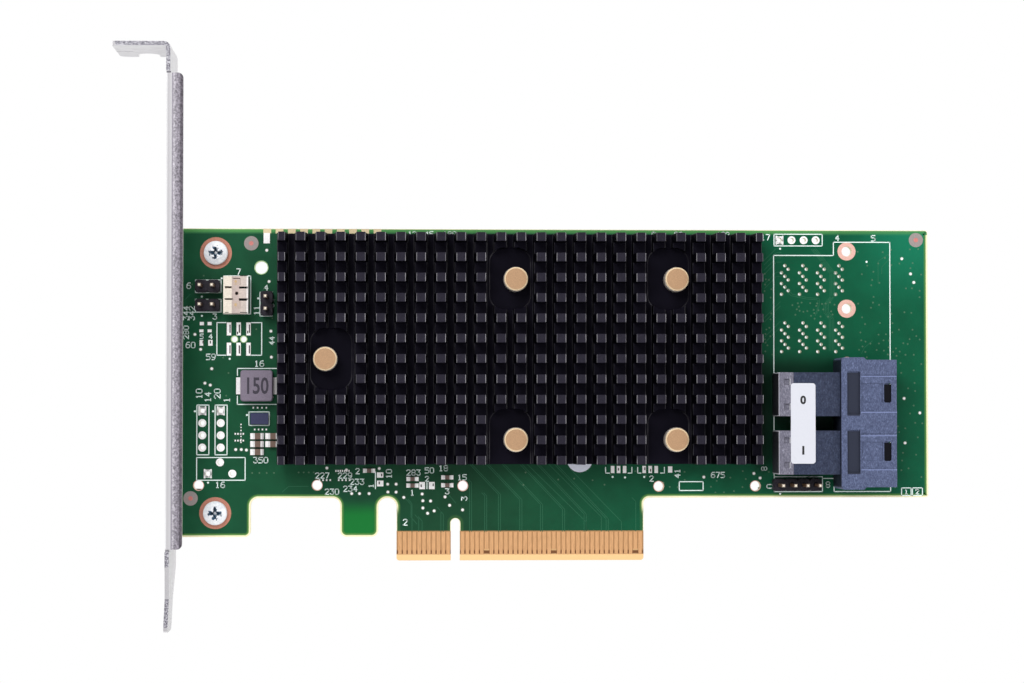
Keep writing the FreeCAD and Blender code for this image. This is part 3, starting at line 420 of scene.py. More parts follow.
def figureMesh(text, height, depth, bold=0.0):
    curve = bpy.data.curves.new("figures", "FONT")
    curve.offset = bold
    curve.body = text
    curve.align_x = curve.align_y = "CENTER"
    curve.extrude = depth / 2
    curve.resolution_u = 3
    holder = linkObject(bpy.data.objects.new("figures", curve))
    bpy.context.view_layer.update()
    mesh = bpy.data.meshes.new_from_object(holder)
    bm = bmesh.new()
    bm.from_mesh(mesh)
    bpy.data.objects.remove(holder)
    tall = max(v.co.y for v in bm.verts) - min(v.co.y for v in bm.verts)
    middle = (max(v.co.y for v in bm.verts) + min(v.co.y for v in bm.verts)) / 2
    bmesh.ops.translate(bm, verts=bm.verts, vec=(0, -middle, 0))
    bmesh.ops.scale(bm, verts=bm.verts, vec=(height / tall, height / tall, 1))
    bmesh.ops.remove_doubles(bm, verts=bm.verts, dist=0.0005)
    return bm


print("helpers ready")


# Circuit board.
boardFinish = {
    # painted light: the mask's tone along X, darker at the left and paler to the right, stands in for
    # reflected light
    "maskAlong": [(0.0, (0.0055, 0.082, 0.034)), (0.3, (0.0075, 0.056, 0.024)), (0.6, (0.004, 0.082, 0.036)),
                  (0.8, (0.001, 0.086, 0.037)), (1.0, (0.001, 0.098, 0.044))],
    "tabGreen": (0.005, 0.155, 0.026),
    "sheenGreen": (0.080, 0.330, 0.095),
    "laminate": (0.80, 0.76, 0.50),
    "tongueAmber": (0.40, 0.215, 0.095),
    "gapEnd": (0.16, 0.065, 0.025),
    "bevelAmber": (0.88, 0.56, 0.27),
    "tongueFrom": (-12.4, 39.4),
    "tongueTop": 6.15,
    "shortContacts": (6.5, 20.5, 37.5),
    "shortContactHalf": 0.5,
    "cornerAcross": (80.0, 96.0),       # painted reflection: the mask turns paler and bluer towards the far top corner
    "cornerUp": (50.0, 68.0),
    "cornerGreen": (0.004, 0.165, 0.085),
    "tabAcross": (-23.4, -16.5),
    "tabUp": (9.0, 13.0),
    "tabSoft": 0.8,
    "paintedShadeAcross": (62.5, 79.8),        # painted shade: darker mask close round the drive connector, front face only
    "paintedShadeUp": (19.0, 42.0),
    "paintedShadeSoft": (1.2, 2.5),
    "paintedShadeDeep": 0.72,
    "paintedShadeGreen": (0.0012, 0.010, 0.005),
    "stripDown": (1.25, 0.25),          # painted reflection: paler strip along the top edge
    "stripAcross": (66.0, 84.0),
    "stripFade": (0.9, 0.45),
}


def maskColor(tree, s):
    x, y, z = splitPoints(tree)
    # painted light: paler along X to the right and at the far top corner, as reflected light
    along = grade(tree, rises(tree, x, boardLeft, boardRight), *s["maskAlong"])
    pour = grade(tree, grain(tree, 0.22, 2.0), (0.35, (0.86, 0.86, 0.86)), (0.65, (1.0, 1.0, 1.0)))
    speck = grade(tree, grain(tree, 5.0, 2.0), (0.3, (0.90, 0.90, 0.90)), (0.7, (1.0, 1.0, 1.0)))
    color = mixColor(tree, 1.0, mixColor(tree, 1.0, along, pour, "MULTIPLY"), speck, "MULTIPLY")
    corner = calc(tree, "MULTIPLY", rises(tree, x, *s["cornerAcross"]), rises(tree, z, *s["cornerUp"]))
    color = mixColor(tree, corner, color, s["cornerGreen"])
    onTab = calc(tree, "MULTIPLY", between(tree, x, *s["tabAcross"], s["tabSoft"]),
                 rises(tree, z, *s["tabUp"], 1.0, 0.0))
    color = mixColor(tree, onTab, color, s["tabGreen"])
    # painted shade round the drive connector, on the front face only
    shade = calc(tree, "MULTIPLY", between(tree, x, *s["paintedShadeAcross"], s["paintedShadeSoft"][0]),
                 between(tree, z, *s["paintedShadeUp"], s["paintedShadeSoft"][1]))
    shade = calc(tree, "MULTIPLY", shade, rises(tree, y, -0.2, 0.2, s["paintedShadeDeep"], 0.0))
    color = mixColor(tree, shade, color, s["paintedShadeGreen"])
    # painted reflection: a paler strip along the top edge
    low, high = [boardTop - down for down in s["stripDown"]]
    sheenStrip = calc(tree, "MULTIPLY", rises(tree, z, low, high),
                 rises(tree, x, *s["stripAcross"], *s["stripFade"]))
    return mixColor(tree, sheenStrip, color, s["sheenGreen"])


def tongueAmount(tree, s):
    x, y, z = splitPoints(tree)
    left, right = s["tongueFrom"]
    inside = calc(tree, "MULTIPLY", calc(tree, "GREATER_THAN", x, left), calc(tree, "LESS_THAN", x, right))
    return calc(tree, "MULTIPLY", inside, calc(tree, "LESS_THAN", z, s["tongueTop"]))


def tongueColor(tree, s):
    x, y, z = splitPoints(tree)
    bright = rises(tree, z, 1.25, 1.45, 1.0, 0.0)
    half = s["shortContactHalf"]
    for place in s["shortContacts"]:
        bare = calc(tree, "MULTIPLY", between(tree, x, place - half, place + half, 0.1),
                    rises(tree, z, 2.2, 2.5, 1.0, 0.0))
        bright = calc(tree, "MAXIMUM", bright, bare)
    tone = mixColor(tree, bright, s["tongueAmber"], s["bevelAmber"])
    return mixColor(tree, between(tree, z, 1.35, 2.15, 0.25), tone, s["gapEnd"])


def boardMaterial(s):
    material, tree, surface = newMaterial("solderMaskGreen", (0.004, 0.10, 0.04), 0.34, 0.0, 0.16)
    nx, ny, nz = splitNormal(tree)
    onSide = calc(tree, "LESS_THAN", calc(tree, "ABSOLUTE", ny), 0.5)
    color = mixColor(tree, tongueAmount(tree, s), maskColor(tree, s), tongueColor(tree, s))
    color = mixColor(tree, onSide, color, s["laminate"])
    tree.links.new(color, surface.inputs["Base Color"])
    weave = grain(tree, 2.4, 2.0)
    tree.links.new(rises(tree, weave, 0.3, 0.7, 0.30, 0.40), surface.inputs["Roughness"])
    addBump(tree, surface, weave, 0.004)
    return material


rimFinish = {
    "width": 0.95,
    "thick": 0.008,
    "olive": (0.085, 0.225, 0.045),
    "cream": (0.86, 0.80, 0.52),
    "oliveFade": (0.05, 0.5),       # how near the edge each colour begins, 1 at the edge itself
    "creamFade": (0.52, 0.74),
    "thinCreamFade": (0.82, 0.96),
    "notchAcross": (-1.9, 1.9),
    "notchUp": (11.4, 11.7),
    "tongueAcross": (-13.6, 40.4),
    "tongueUp": (8.8, 12.2),
    "topDown": (1.0, 0.9),
    "topOlive": 0.25,
    "keyOlive": 0.2,
}


def rimMaterial(s):
    material, tree, surface = newMaterial("bareLaminateRim", (0.3, 0.5, 0.1), 0.45, 0.0, 0.16)
    x, y, z = splitPoints(tree)
    glow = addNode(tree, "Attribute", attribute_name="nearEdge").outputs["Fac"]
    nearNotch = calc(tree, "MULTIPLY", between(tree, x, *s["notchAcross"]),
                     rises(tree, z, *s["notchUp"], 1.0, 0.0))
    onTongue = calc(tree, "MULTIPLY", between(tree, x, *s["tongueAcross"]),
                    rises(tree, z, *s["tongueUp"], 1.0, 0.0))
    inKey = calc(tree, "MAXIMUM", nearNotch, onTongue)
    atTop = rises(tree, z, *[boardTop - down for down in s["topDown"]])
    plain = calc(tree, "MAXIMUM", inKey, atTop)
    olive = calc(tree, "MULTIPLY", rises(tree, glow, *s["oliveFade"]),
                 rises(tree, atTop, 0.0, 1.0, 1.0, s["topOlive"]))
    olive = calc(tree, "MULTIPLY", olive, rises(tree, inKey, 0.0, 1.0, 1.0, s["keyOlive"]))
    color = mixColor(tree, olive, maskColor(tree, boardFinish), s["olive"])
    wide = calc(tree, "MULTIPLY", rises(tree, glow, *s["creamFade"]), rises(tree, plain, 0.0, 1.0, 1.0, 0.0))
    thin = calc(tree, "MULTIPLY", rises(tree, glow, *s["thinCreamFade"]), plain)
    color = mixColor(tree, calc(tree, "MAXIMUM", wide, thin), color, s["cream"])
    color = mixColor(tree, tongueAmount(tree, boardFinish), color, tongueColor(tree, boardFinish))
    tree.links.new(color, surface.inputs["Base Color"])
    return material


def liesAt(face, level):
    return abs(face.calc_center_median().y - level) < 0.001


def outerLoop(level):       # the board's outline in order, from the leftmost point of one face
    bm = mergedCopy("circuit_board")
    flat = {f for f in bm.faces if liesAt(f, level) and abs(f.normal.y) > 0.99}
    edges = [e for e in bm.edges if sum(f in flat for f in e.link_faces) == 1]
    start = min((v for e in edges for v in e.verts), key=lambda v: v.co.x + v.co.z * 0.001)
    edgesOf = {}
    for edge in edges:
        for v in edge.verts:
            edgesOf.setdefault(v, []).append(edge)
    points, vertex, edge = [], start, edgesOf[start][0]
    while True:
        points.append(vertex.co.copy())
        vertex = edge.other_vert(vertex)
        edge = [e for e in edgesOf[vertex] if e is not edge][0]
        if vertex is start:
            break
    bm.free()
    return points


def makeRim(s):
    bm = bmesh.new()
    near = bm.verts.layers.float.new("nearEdge")
    for level, side in boardFaces:
        outline = bm.faces.new([bm.verts.new(point) for point in outerLoop(level)])
        outline.normal_update()
        for v in outline.verts:
            v[near] = 1.0
        bmesh.ops.inset_region(bm, faces=[outline], thickness=s["width"], use_boundary=True,
                               use_even_offset=True)
        for v in outline.verts:
            v[near] = 0.0
        bmesh.ops.delete(bm, geom=[outline], context="FACES_ONLY")
        made = bmesh.ops.extrude_face_region(bm, geom=[f for f in bm.faces if liesAt(f, level)])
        lifted = [v for v in made["geom"] if isinstance(v, bmesh.types.BMVert)]
        bmesh.ops.translate(bm, verts=lifted, vec=(0, side * s["thick"], 0))
    bmesh.ops.recalc_face_normals(bm, faces=bm.faces)
    finishPiece(bm, "bareBoardRim", rimMaterial(s))


dress("circuit_board", boardMaterial(boardFinish))
makeRim(rimFinish)
print("circuit board dressed")


# Copper under the mask, plated holes and pads.
# Places that several pieces share. The two lower ports are fitted, the two upper ones are bare holes.
portPlaces = {
    "middles": (22.47, 34.47, 46.47, 58.47),
    "columns": [68.95 + 3.8 * column for column in range(4)],
    "stagger": (0, 0.71, -0.71),
    "rows": 9,
    "rowStep": 0.75,
    "fittedBelow": 42.0,
}
portHoles = [(x + portPlaces["stagger"][row % 3], z + (4 - row) * portPlaces["rowStep"])
             for z in portPlaces["middles"] for x in portPlaces["columns"]
             for row in range(portPlaces["rows"])]
openPortHoles = [(x, z) for x, z in portHoles if z > portPlaces["fittedBelow"]]
postPlaces = [(81.97, 16.47 + 12.0 * i) for i in range(5)]
screwPlaces = [(-49.7, 63.8), (-49.7, 9.9)]
fiducialPlaces = [(96.62, 66.9), (-42.4, 65.85), (-54.8, 12.95)]
toolingPlaces = [(-53.15, 15.65), (-28.65, 15.65), (1.55, 15.5), (42.4, 15.35), (62.65, 15.4)]
bareRows = [[(x, 31.07 - 2.54 * i) for i in range(4)] for x in (-52.42, -48.62)]
bareRows.append([(67.85 + 2.54 * i, 66.8) for i in range(4)])
bareRows.append([(-51.25, 18.05), (-46.2, 18.05), (-48.75, 20.4)])
brightVias = [(-39.2, 64.4), (-38.7, 57.9), (-38.3, 47.6), (-50.5, 39.8), (-51.9, 36.8), (-50.8, 36.4),
              (-52.8, 43.8), (-54.0, 46.9), (-45.5, 23.05), (-44.35, 23.05), (-43.3, 22.95), (-15.8, 19.1),
              (-14.05, 15.85), (-12.3, 15.85), (-14.0, 14.2), (-12.3, 14.2), (-10.7, 13.1), (-19.9, 13.9),
              (-17.9, 13.9), (-21.5, 13.9), (-22.6, 18.8), (-26.65, 19.2), (-6.9, 13.8), (-6.75, 12.4),
              (-5.15, 12.35), (-6.75, 10.9), (-4.4, 10.3), (-5.75, 9.8), (-2.15, 13.2), (-1.2, 11.45),
              (1.5, 10.5), (51.85, 17.25), (62.35, 18.0), (63.65, 17.05), (-38.2, 42.2), (-38.0, 33.9),
              (93.64, 62.98), (95.48, 59.79), (96.16, 58.0), (94.01, 33.67), (97.32, 30.64), (94.18, 24.36)]


traces = {
    "width": 0.13,
    "thick": 0.006,
    "color": (0.036, 0.155, 0.085),
    "tongueEnd": 5.9,       # where lanes start above the edge contacts
    "heatsinkEnd": 19.9,    # where they pass under the heatsink
    "pairs": [(8.95, 13.7), (13.4, 12.6), (17.7, 11.6), (22.3, 10.6), (26.8, 9.6), (31.4, 8.6)],
    "pairGap": 0.45,
    "pairSlope": 0.95,
    "shortPairs": [(2.95, 16.2), (6.1, 13.4)],
    "shortPairGap": 0.42,
    "shortPairEnd": 0.6,
    "crossing": [[(37.6, 5.9), (37.6, 12.2), (36.8, 13.0)],
                 [(34.6, 5.9), (34.6, 8.0), (24.0, 18.9), (24.0, 19.9)],
                 [(15.0, 19.9), (27.2, 8.0), (27.2, 5.9)], [(19.5, 19.9), (30.4, 9.0), (30.4, 5.9)]],
    "stubEnd": (0.8, 0.9),
    "stubs": [(-9.0, 11.8), (-7.6, 8.6), (-6.9, 8.2), (-3.0, 10.2), (-2.5, 9.6)],
    "leftLanes": [[(-1.6, 16.4), (-1.6, 13.9), (0.1, 11.9)],
                  [(-10.4, 12.9), (-9.2, 11.6), (-9.2, 9.0), (-8.0, 7.6)]],
    "bundle": [(78.6, 43.7), (78.6, 50.2), (77.5, 51.7), (77.5, 53.4), (78.8, 55.0), (78.8, 59.9),
               (76.9, 62.4), (74.9, 64.9)],
    "bundleStep": (0.32, 0.05),
    "upperPairStep": (0.3, 0.3),
    "upperPair": [(75.35, 51.0), (75.9, 52.9), (75.9, 54.3), (73.3, 54.5), (70.2, 55.2), (68.1, 57.4)],
    "fan": (45.2, 46.4, 49.6, 50.5, 56.6, 57.5, 59.6, 60.5, 61.6, 62.5),
    "fanFrom": 64.6,
    "fanRise": 2.6,
    "fanParts": 56.0,       # lanes above this height end level, the lower ones climb on
    "fanLevelEnd": 68.2,
    "fanClimbEnd": (68.0, 3.4),
    "loose": [[(88.62, 57.84), (88.62, 62.42), (90.71, 63.86)], [(89.4, 59.8), (89.4, 61.24), (90.79, 62.68)],
              [(85.1, 43.1), (85.6, 44.2), (87.3, 45.7)], [(-41.2, 54.8), (-39.0, 57.2)],
              [(-56.6, 53.6), (-55.0, 55.2)], [(-35.9, 14.2), (-34.6, 15.4), (-30.5, 15.4)]],
}


def coveredMaterial(name, color):
    material, tree, surface = newMaterial(name, color, 0.36, 0.0, 0.16)
    tone = mixColor(tree, 0.5, maskColor(tree, boardFinish), color)
    tree.links.new(tone, surface.inputs["Base Color"])
    return material


def shifted(points, dx, dz=0.0):
    return [(x + dx, z + dz) for x, z in points]


def makeTraces(s):
    start, end = s["tongueEnd"], s["heatsinkEnd"]
    lanes = []
    for x, turn in s["pairs"]:
        lane = [(x, start), (x, turn), (x - (end - turn) * s["pairSlope"], end)]
        lanes += [lane, shifted(lane, s["pairGap"])]
    for x, turn in s["shortPairs"]:
        lane = [(x, start), (x, turn), (x - s["shortPairEnd"], turn + s["shortPairEnd"])]
        lanes += [lane, shifted(lane, s["shortPairGap"])]
    lanes += s["crossing"]
    along, up = s["stubEnd"]
    lanes += [[(x, start), (x, turn), (x - along, turn + up)] for x, turn in s["stubs"]]
    lanes += s["leftLanes"]
    along, up = s["bundleStep"]
    lanes += [shifted(s["bundle"], along * i, up * i) for i in range(-1, 3)]
    lanes += [s["upperPair"], shifted(s["upperPair"], *s["upperPairStep"])]
    x, rise = s["fanFrom"], s["fanRise"]
    climbEnd, climb = s["fanClimbEnd"]
    for z in s["fan"]:
        end = (s["fanLevelEnd"], z + rise) if z > s["fanParts"] else (climbEnd, z + climb)
        lanes.append([(x, z), (x + rise, z + rise), end])
    lanes += s["loose"]
    bm = bmesh.new()
    for lane in lanes:
        addStroke(bm, lane, s["width"], s["thick"])
    finishPiece(bm, "coveredTraces", coveredMaterial("coveredCopper", s["color"]))


vias = {
    "radius": 0.19,
    "thick": 0.007,
    "color": (0.13, 0.22, 0.14),
    "brightRadius": 0.27,
    "haloRadius": 0.37,
    "haloColor": (0.55, 0.56, 0.50),
    "fields": [     # how many, left, right, bottom, top, least distance
        (38, 84.5, 98.0, 40.5, 48.5, 0.9), (34, 84.0, 98.0, 49.0, 65.2, 1.1),
        (26, 70.5, 79.5, 50.3, 53.9, 0.55), (20, 64.6, 67.0, 42.5, 60.0, 0.6),
        (26, 91.8, 98.0, 14.5, 40.0, 1.2), (16, 43.0, 66.0, 14.0, 18.6, 1.3),
        (14, -56.5, -38.0, 33.5, 62.0, 2.2), (10, 3.0, 42.0, 15.5, 19.2, 2.0)],
    "rows": [(-42.1, 1.5, 18.2), (-32.5, 1.05, 18.3)],      # first place, step, height, four in each
}


def scatter(count, x0, x1, z0, z1, apart, places):
    tries = 0
    while count and tries < 4000:
        tries += 1
        x, z = random.uniform(x0, x1), random.uniform(z0, z1)
        if all(math.hypot(x - u, z - v) > apart for u, v in places):
            places.append((x, z))
            count -= 1


def makeVias(s):
    random.seed(7)
    taken = postPlaces + openPortHoles + brightVias
    known = len(taken)
    for field in s["fields"]:
        scatter(*field, taken)
    quiet = taken[known:] + [(x + step * i, z) for x, step, z in s["rows"] for i in range(4)]
    bm, halos, tips = bmesh.new(), bmesh.new(), bmesh.new()
    for x, z in quiet:
        for face, side in boardFaces:
            addDisc(bm, x, z, s["radius"], s["thick"], 8, face, side)
    finishPiece(bm, "coveredVias", coveredMaterial("coveredViaCopper", s["color"]))
    for x, z in brightVias:
        for face, side in boardFaces:
            addRing(halos, x, z, s["brightRadius"] * 0.8, s["haloRadius"], s["thick"], 10, face, side)
            addDisc(tips, x, z, s["brightRadius"], s["thick"] * 2, 8, face, side)
    finishPiece(halos, "viaHalos", coveredMaterial("viaHaloCopper", s["haloColor"]))
    finishPiece(tips, "viaTips", tinMaterial)


pads = {
    "thick": 0.025,
    "headerPad": 0.84,
    "headerHole": 0.5,
    "squareHalf": 0.82,
    "sixRows": [(46.7, 49.4), (42.5, 45.2)],        # a bare place for a part with six pads
    "sixColumns": (-46.96, -44.97, -42.93),
    "sixHalf": 0.46,
    "sixShades": [(-46.75, 0.26), (-44.8, 0.3), (-42.72, 0.26)],
    "sixShadeUp": (48.1, 43.8),
    "sixShadeHalf": 0.85,
    "single": [     # middle along and up, width, height
        (-52.57, 49.15, 0.85, 0.7), (-50.97, 49.15, 0.85, 0.7), (-52.66, 47.64, 0.85, 0.6),
        (-50.96, 47.65, 0.85, 0.6), (-52.66, 45.16, 0.75, 1.2), (-50.8, 45.16, 0.9, 1.2),
        (-15.62, 17.75, 1.35, 1.1), (-15.61, 16.0, 1.35, 1.2), (-6.9, 15.55, 1.2, 1.5),
        (-4.9, 15.55, 1.2, 1.5), (32.77, 18.85, 0.75, 1.5), (34.02, 18.85, 0.75, 1.5),
        (35.28, 18.85, 0.75, 1.5), (39.37, 18.85, 0.75, 1.5), (40.63, 18.85, 0.75, 1.5),
        (41.88, 18.85, 0.75, 1.5), (44.8, 18.85, 0.9, 1.3)],
    "fours": [      # first place, step, height, four in each
        (-45.6, 0.55, 26.3), (-45.6, 0.55, 24.9), (-41.9, 0.9, 31.7), (-41.6, 0.8, 27.2), (-28.2, 0.75, 16.7),
        (-24.2, 0.75, 16.7)],
    "fourHalf": (0.15, 0.18),
    "column": (-44.55, -44.3, 24.4, 24.65, 0.62),   # left, right, bottom, top, step upwards, seven of them
    "line": (-24.9, -24.65, 18.4, 18.8, 0.45),      # the same, with its step along X
    "partEnds": [(-42.5, -41.8), (-40.05, -39.7), (-39.4, -38.75)],
    "partRows": [(25.82, 3), (24.18, 3), (22.54, 2)],       # height, how many of the ends
    "partHalf": 0.62,
    "partThick": 0.3,
    "pairInner": 0.7,       # from a pair's middle to its pads
    "pairOuter": 1.27,
    "pairHalf": 0.44,
    "pairs": [(-8.9, 16.92), (-8.9, 15.57), (-1.68, 17.25), (-1.68, 15.62), (-17.9, 18.65)],
    "pairThick": 0.34,
    "cornerPad": (-39.85, -38.55, 65.85, 68.0, 0.06),
    # dark strips on the pads: painted shade on the crowned solder
    "shadeLift": 0.012,
    "shadeHalf": (0.13, 0.28),
    "shades": [(-39.3, 67.3), (-39.05, 66.7), (-45.2, 47.2), (-43.1, 47.4), (-15.3, 17.75), (-15.8, 16.1),
               (-7.1, 15.5), (-4.6, 15.7), (34.0, 18.9), (39.5, 19.0), (40.7, 18.7), (-52.3, 45.3),
               (-50.8, 45.3)],
}


def addPad(bm, x, z, halfWide, halfHigh, thick):
    addPlate(bm, x - halfWide, x + halfWide, z - halfHigh, z + halfHigh, thick)


def squareWithHole(bm, x, z, half, hole, thick):
    for side in (-1, 1):
        middle = x + side * (half - (half - hole) / 2)
        addStroke(bm, [(middle, z - half), (middle, z + half)], half - hole, thick)
    addPlate(bm, x - hole * 1.1, x + hole * 1.1, z + hole, z + half, thick)
    addPlate(bm, x - hole * 1.1, x + hole * 1.1, z - half, z - hole, thick)


def makePads(s):
    thick = s["thick"]
    bm = bmesh.new()
    for row in bareRows:
        squareWithHole(bm, *row[0], s["squareHalf"], s["headerHole"], thick)
        addRing(bm, *row[0], s["headerHole"], 0.8, thick, 16)
        for place in row[1:]:
            addRing(bm, *place, s["headerHole"], s["headerPad"], thick, 16)
        for place in row:
            addRing(bm, *place, s["headerHole"], s["headerPad"], thick, 16, backY, 1)
    for z0, z1 in s["sixRows"]:
        for x in s["sixColumns"]:
            addPlate(bm, x - s["sixHalf"], x + s["sixHalf"], z0, z1, thick)
    for x, z, wide, high in s["single"]:
        addPad(bm, x, z, wide / 2, high / 2, thick)
    for i in range(4):
        for x, step, z in s["fours"]:
            addPad(bm, x + step * i, z, *s["fourHalf"], thick)
    for i in range(7):
        x0, x1, z0, z1, step = s["column"]
        addPlate(bm, x0, x1, z0 + step * i, z1 + step * i, thick)
        x0, x1, z0, z1, step = s["line"]
        addPlate(bm, x0 + step * i, x1 + step * i, z0, z1, thick)
    for z, count in s["partRows"]:
        for x0, x1 in s["partEnds"][:count]:
            addPlate(bm, x0, x1, z - s["partHalf"], z + s["partHalf"], s["partThick"])
    inner, outer, half = s["pairInner"], s["pairOuter"], s["pairHalf"]
    for x, z in s["pairs"]:
        for x0, x1 in ((x - outer, x - inner), (x + inner, x + outer)):
            addPlate(bm, x0, x1, z - half, z + half, s["pairThick"])
    addPlate(bm, *s["cornerPad"])
    finishPiece(bm, "tinnedPads", tinMaterial)
    # thin dark plates on the pads: painted shade on the crowned solder
    bm = bmesh.new()
    for z in s["sixShadeUp"]:
        for x, wide in s["sixShades"]:
            addPad(bm, x, z, wide / 2, s["sixShadeHalf"], thick + s["shadeLift"])
    for x, z in s["shades"]:
        addPad(bm, x, z, *s["shadeHalf"], thick + s["shadeLift"])
    finishPiece(bm, "solderShades", shadeMaterial)


rings = {
    "thick": 0.02,
    "screw": (1.6, (3.3, 3.3)),         # hole, then the outer radius in front and behind
    "post": (1.05, (1.9, 1.8)),
    "tooling": (1.0, (1.14, 1.14)),
    "portHole": 0.3,
    "portOuter": (0.38, 0.45),
    "bareHoles": [(-40.3, 60.8, 1.3), (-45.82, 45.92, 0.6), (-43.92, 45.92, 0.6)],
    "bareRims": (0.17, 0.22),
    "fieldRadius": 1.5,
    "dotRadius": 0.47,
    "dotLift": 0.012,
}


def makeRings(s):
    thick = s["thick"]
    bm = bmesh.new()
    addRings(bm, screwPlaces, *s["screw"], thick, 40)
    finishPiece(bm, "screwRings", copperMaterial)
    bm = bmesh.new()
    addRings(bm, postPlaces, *s["post"], thick, 32)
    addRings(bm, toolingPlaces, *s["tooling"], thick, 28)
    finishPiece(bm, "paleCopperRings", paleCopperMaterial)
    bm = bmesh.new()
    for x, z in openPortHoles:
        addRing(bm, x, z, s["portHole"], s["portOuter"][0], thick, 10)
    for x, z in portHoles:
        addRing(bm, x, z, s["portHole"], s["portOuter"][1], thick, 10, backY, 1)
    finishPiece(bm, "portHoleRings", brownCopperMaterial)
    bm = bmesh.new()
    for x, z, hole in s["bareHoles"]:
        addRings(bm, [(x, z)], hole, [hole + wide for wide in s["bareRims"]], thick, 24)
    finishPiece(bm, "bareHoleRims", limeMaterial)
    for label, radius, lift, material in (("fiducialFields", s["fieldRadius"], 0.0, fieldMaterial),
                                          ("fiducialDots", s["dotRadius"], s["dotLift"], dotMaterial)):
        bm = bmesh.new()
        for x, z in fiducialPlaces:
            addDisc(bm, x, z, radius, thick + lift, 28)
        finishPiece(bm, label, material)


tinMaterial = grainyMaterial("solderTin", (0.90, 0.88, 0.88), 0.34, 0.0, 0.3, 3.5, 0.10, 0.02)
shadeMaterial = grainyMaterial("solderShade", (0.085, 0.070, 0.075), 0.5, 0.0, 0.2, 6.0, 0.3, 0.01)
copperMaterial = grainyMaterial("bareCopper", (0.47, 0.195, 0.135), 0.42, 0.1, 0.3, 4.0, 0.14, 0.006)
paleCopperMaterial = grainyMaterial("paleCopper", (0.72, 0.43, 0.36), 0.42, 0.05, 0.3, 4.0, 0.10, 0.006)
dotMaterial = grainyMaterial("fiducialCopper", (0.58, 0.20, 0.18), 0.42, 0.05, 0.3, 4.0, 0.14, 0.006)
brownCopperMaterial = grainyMaterial("holeEdge", (0.26, 0.31, 0.25), 0.45, 0.0, 0.3, 4.0, 0.15, 0.006)
limeMaterial = grainyMaterial("limeLaminate", (0.38, 0.58, 0.28), 0.5, 0.0, 0.2, 3.0, 0.12, 0.004)
fieldMaterial = grainyMaterial("greyLaminate", (0.30, 0.26, 0.25), 0.5, 0.0, 0.2, 5.0, 0.12, 0.004)
makeTraces(traces)
makeVias(vias)
makePads(pads)
makeRings(rings)
print("traces, vias, rings and pads made")


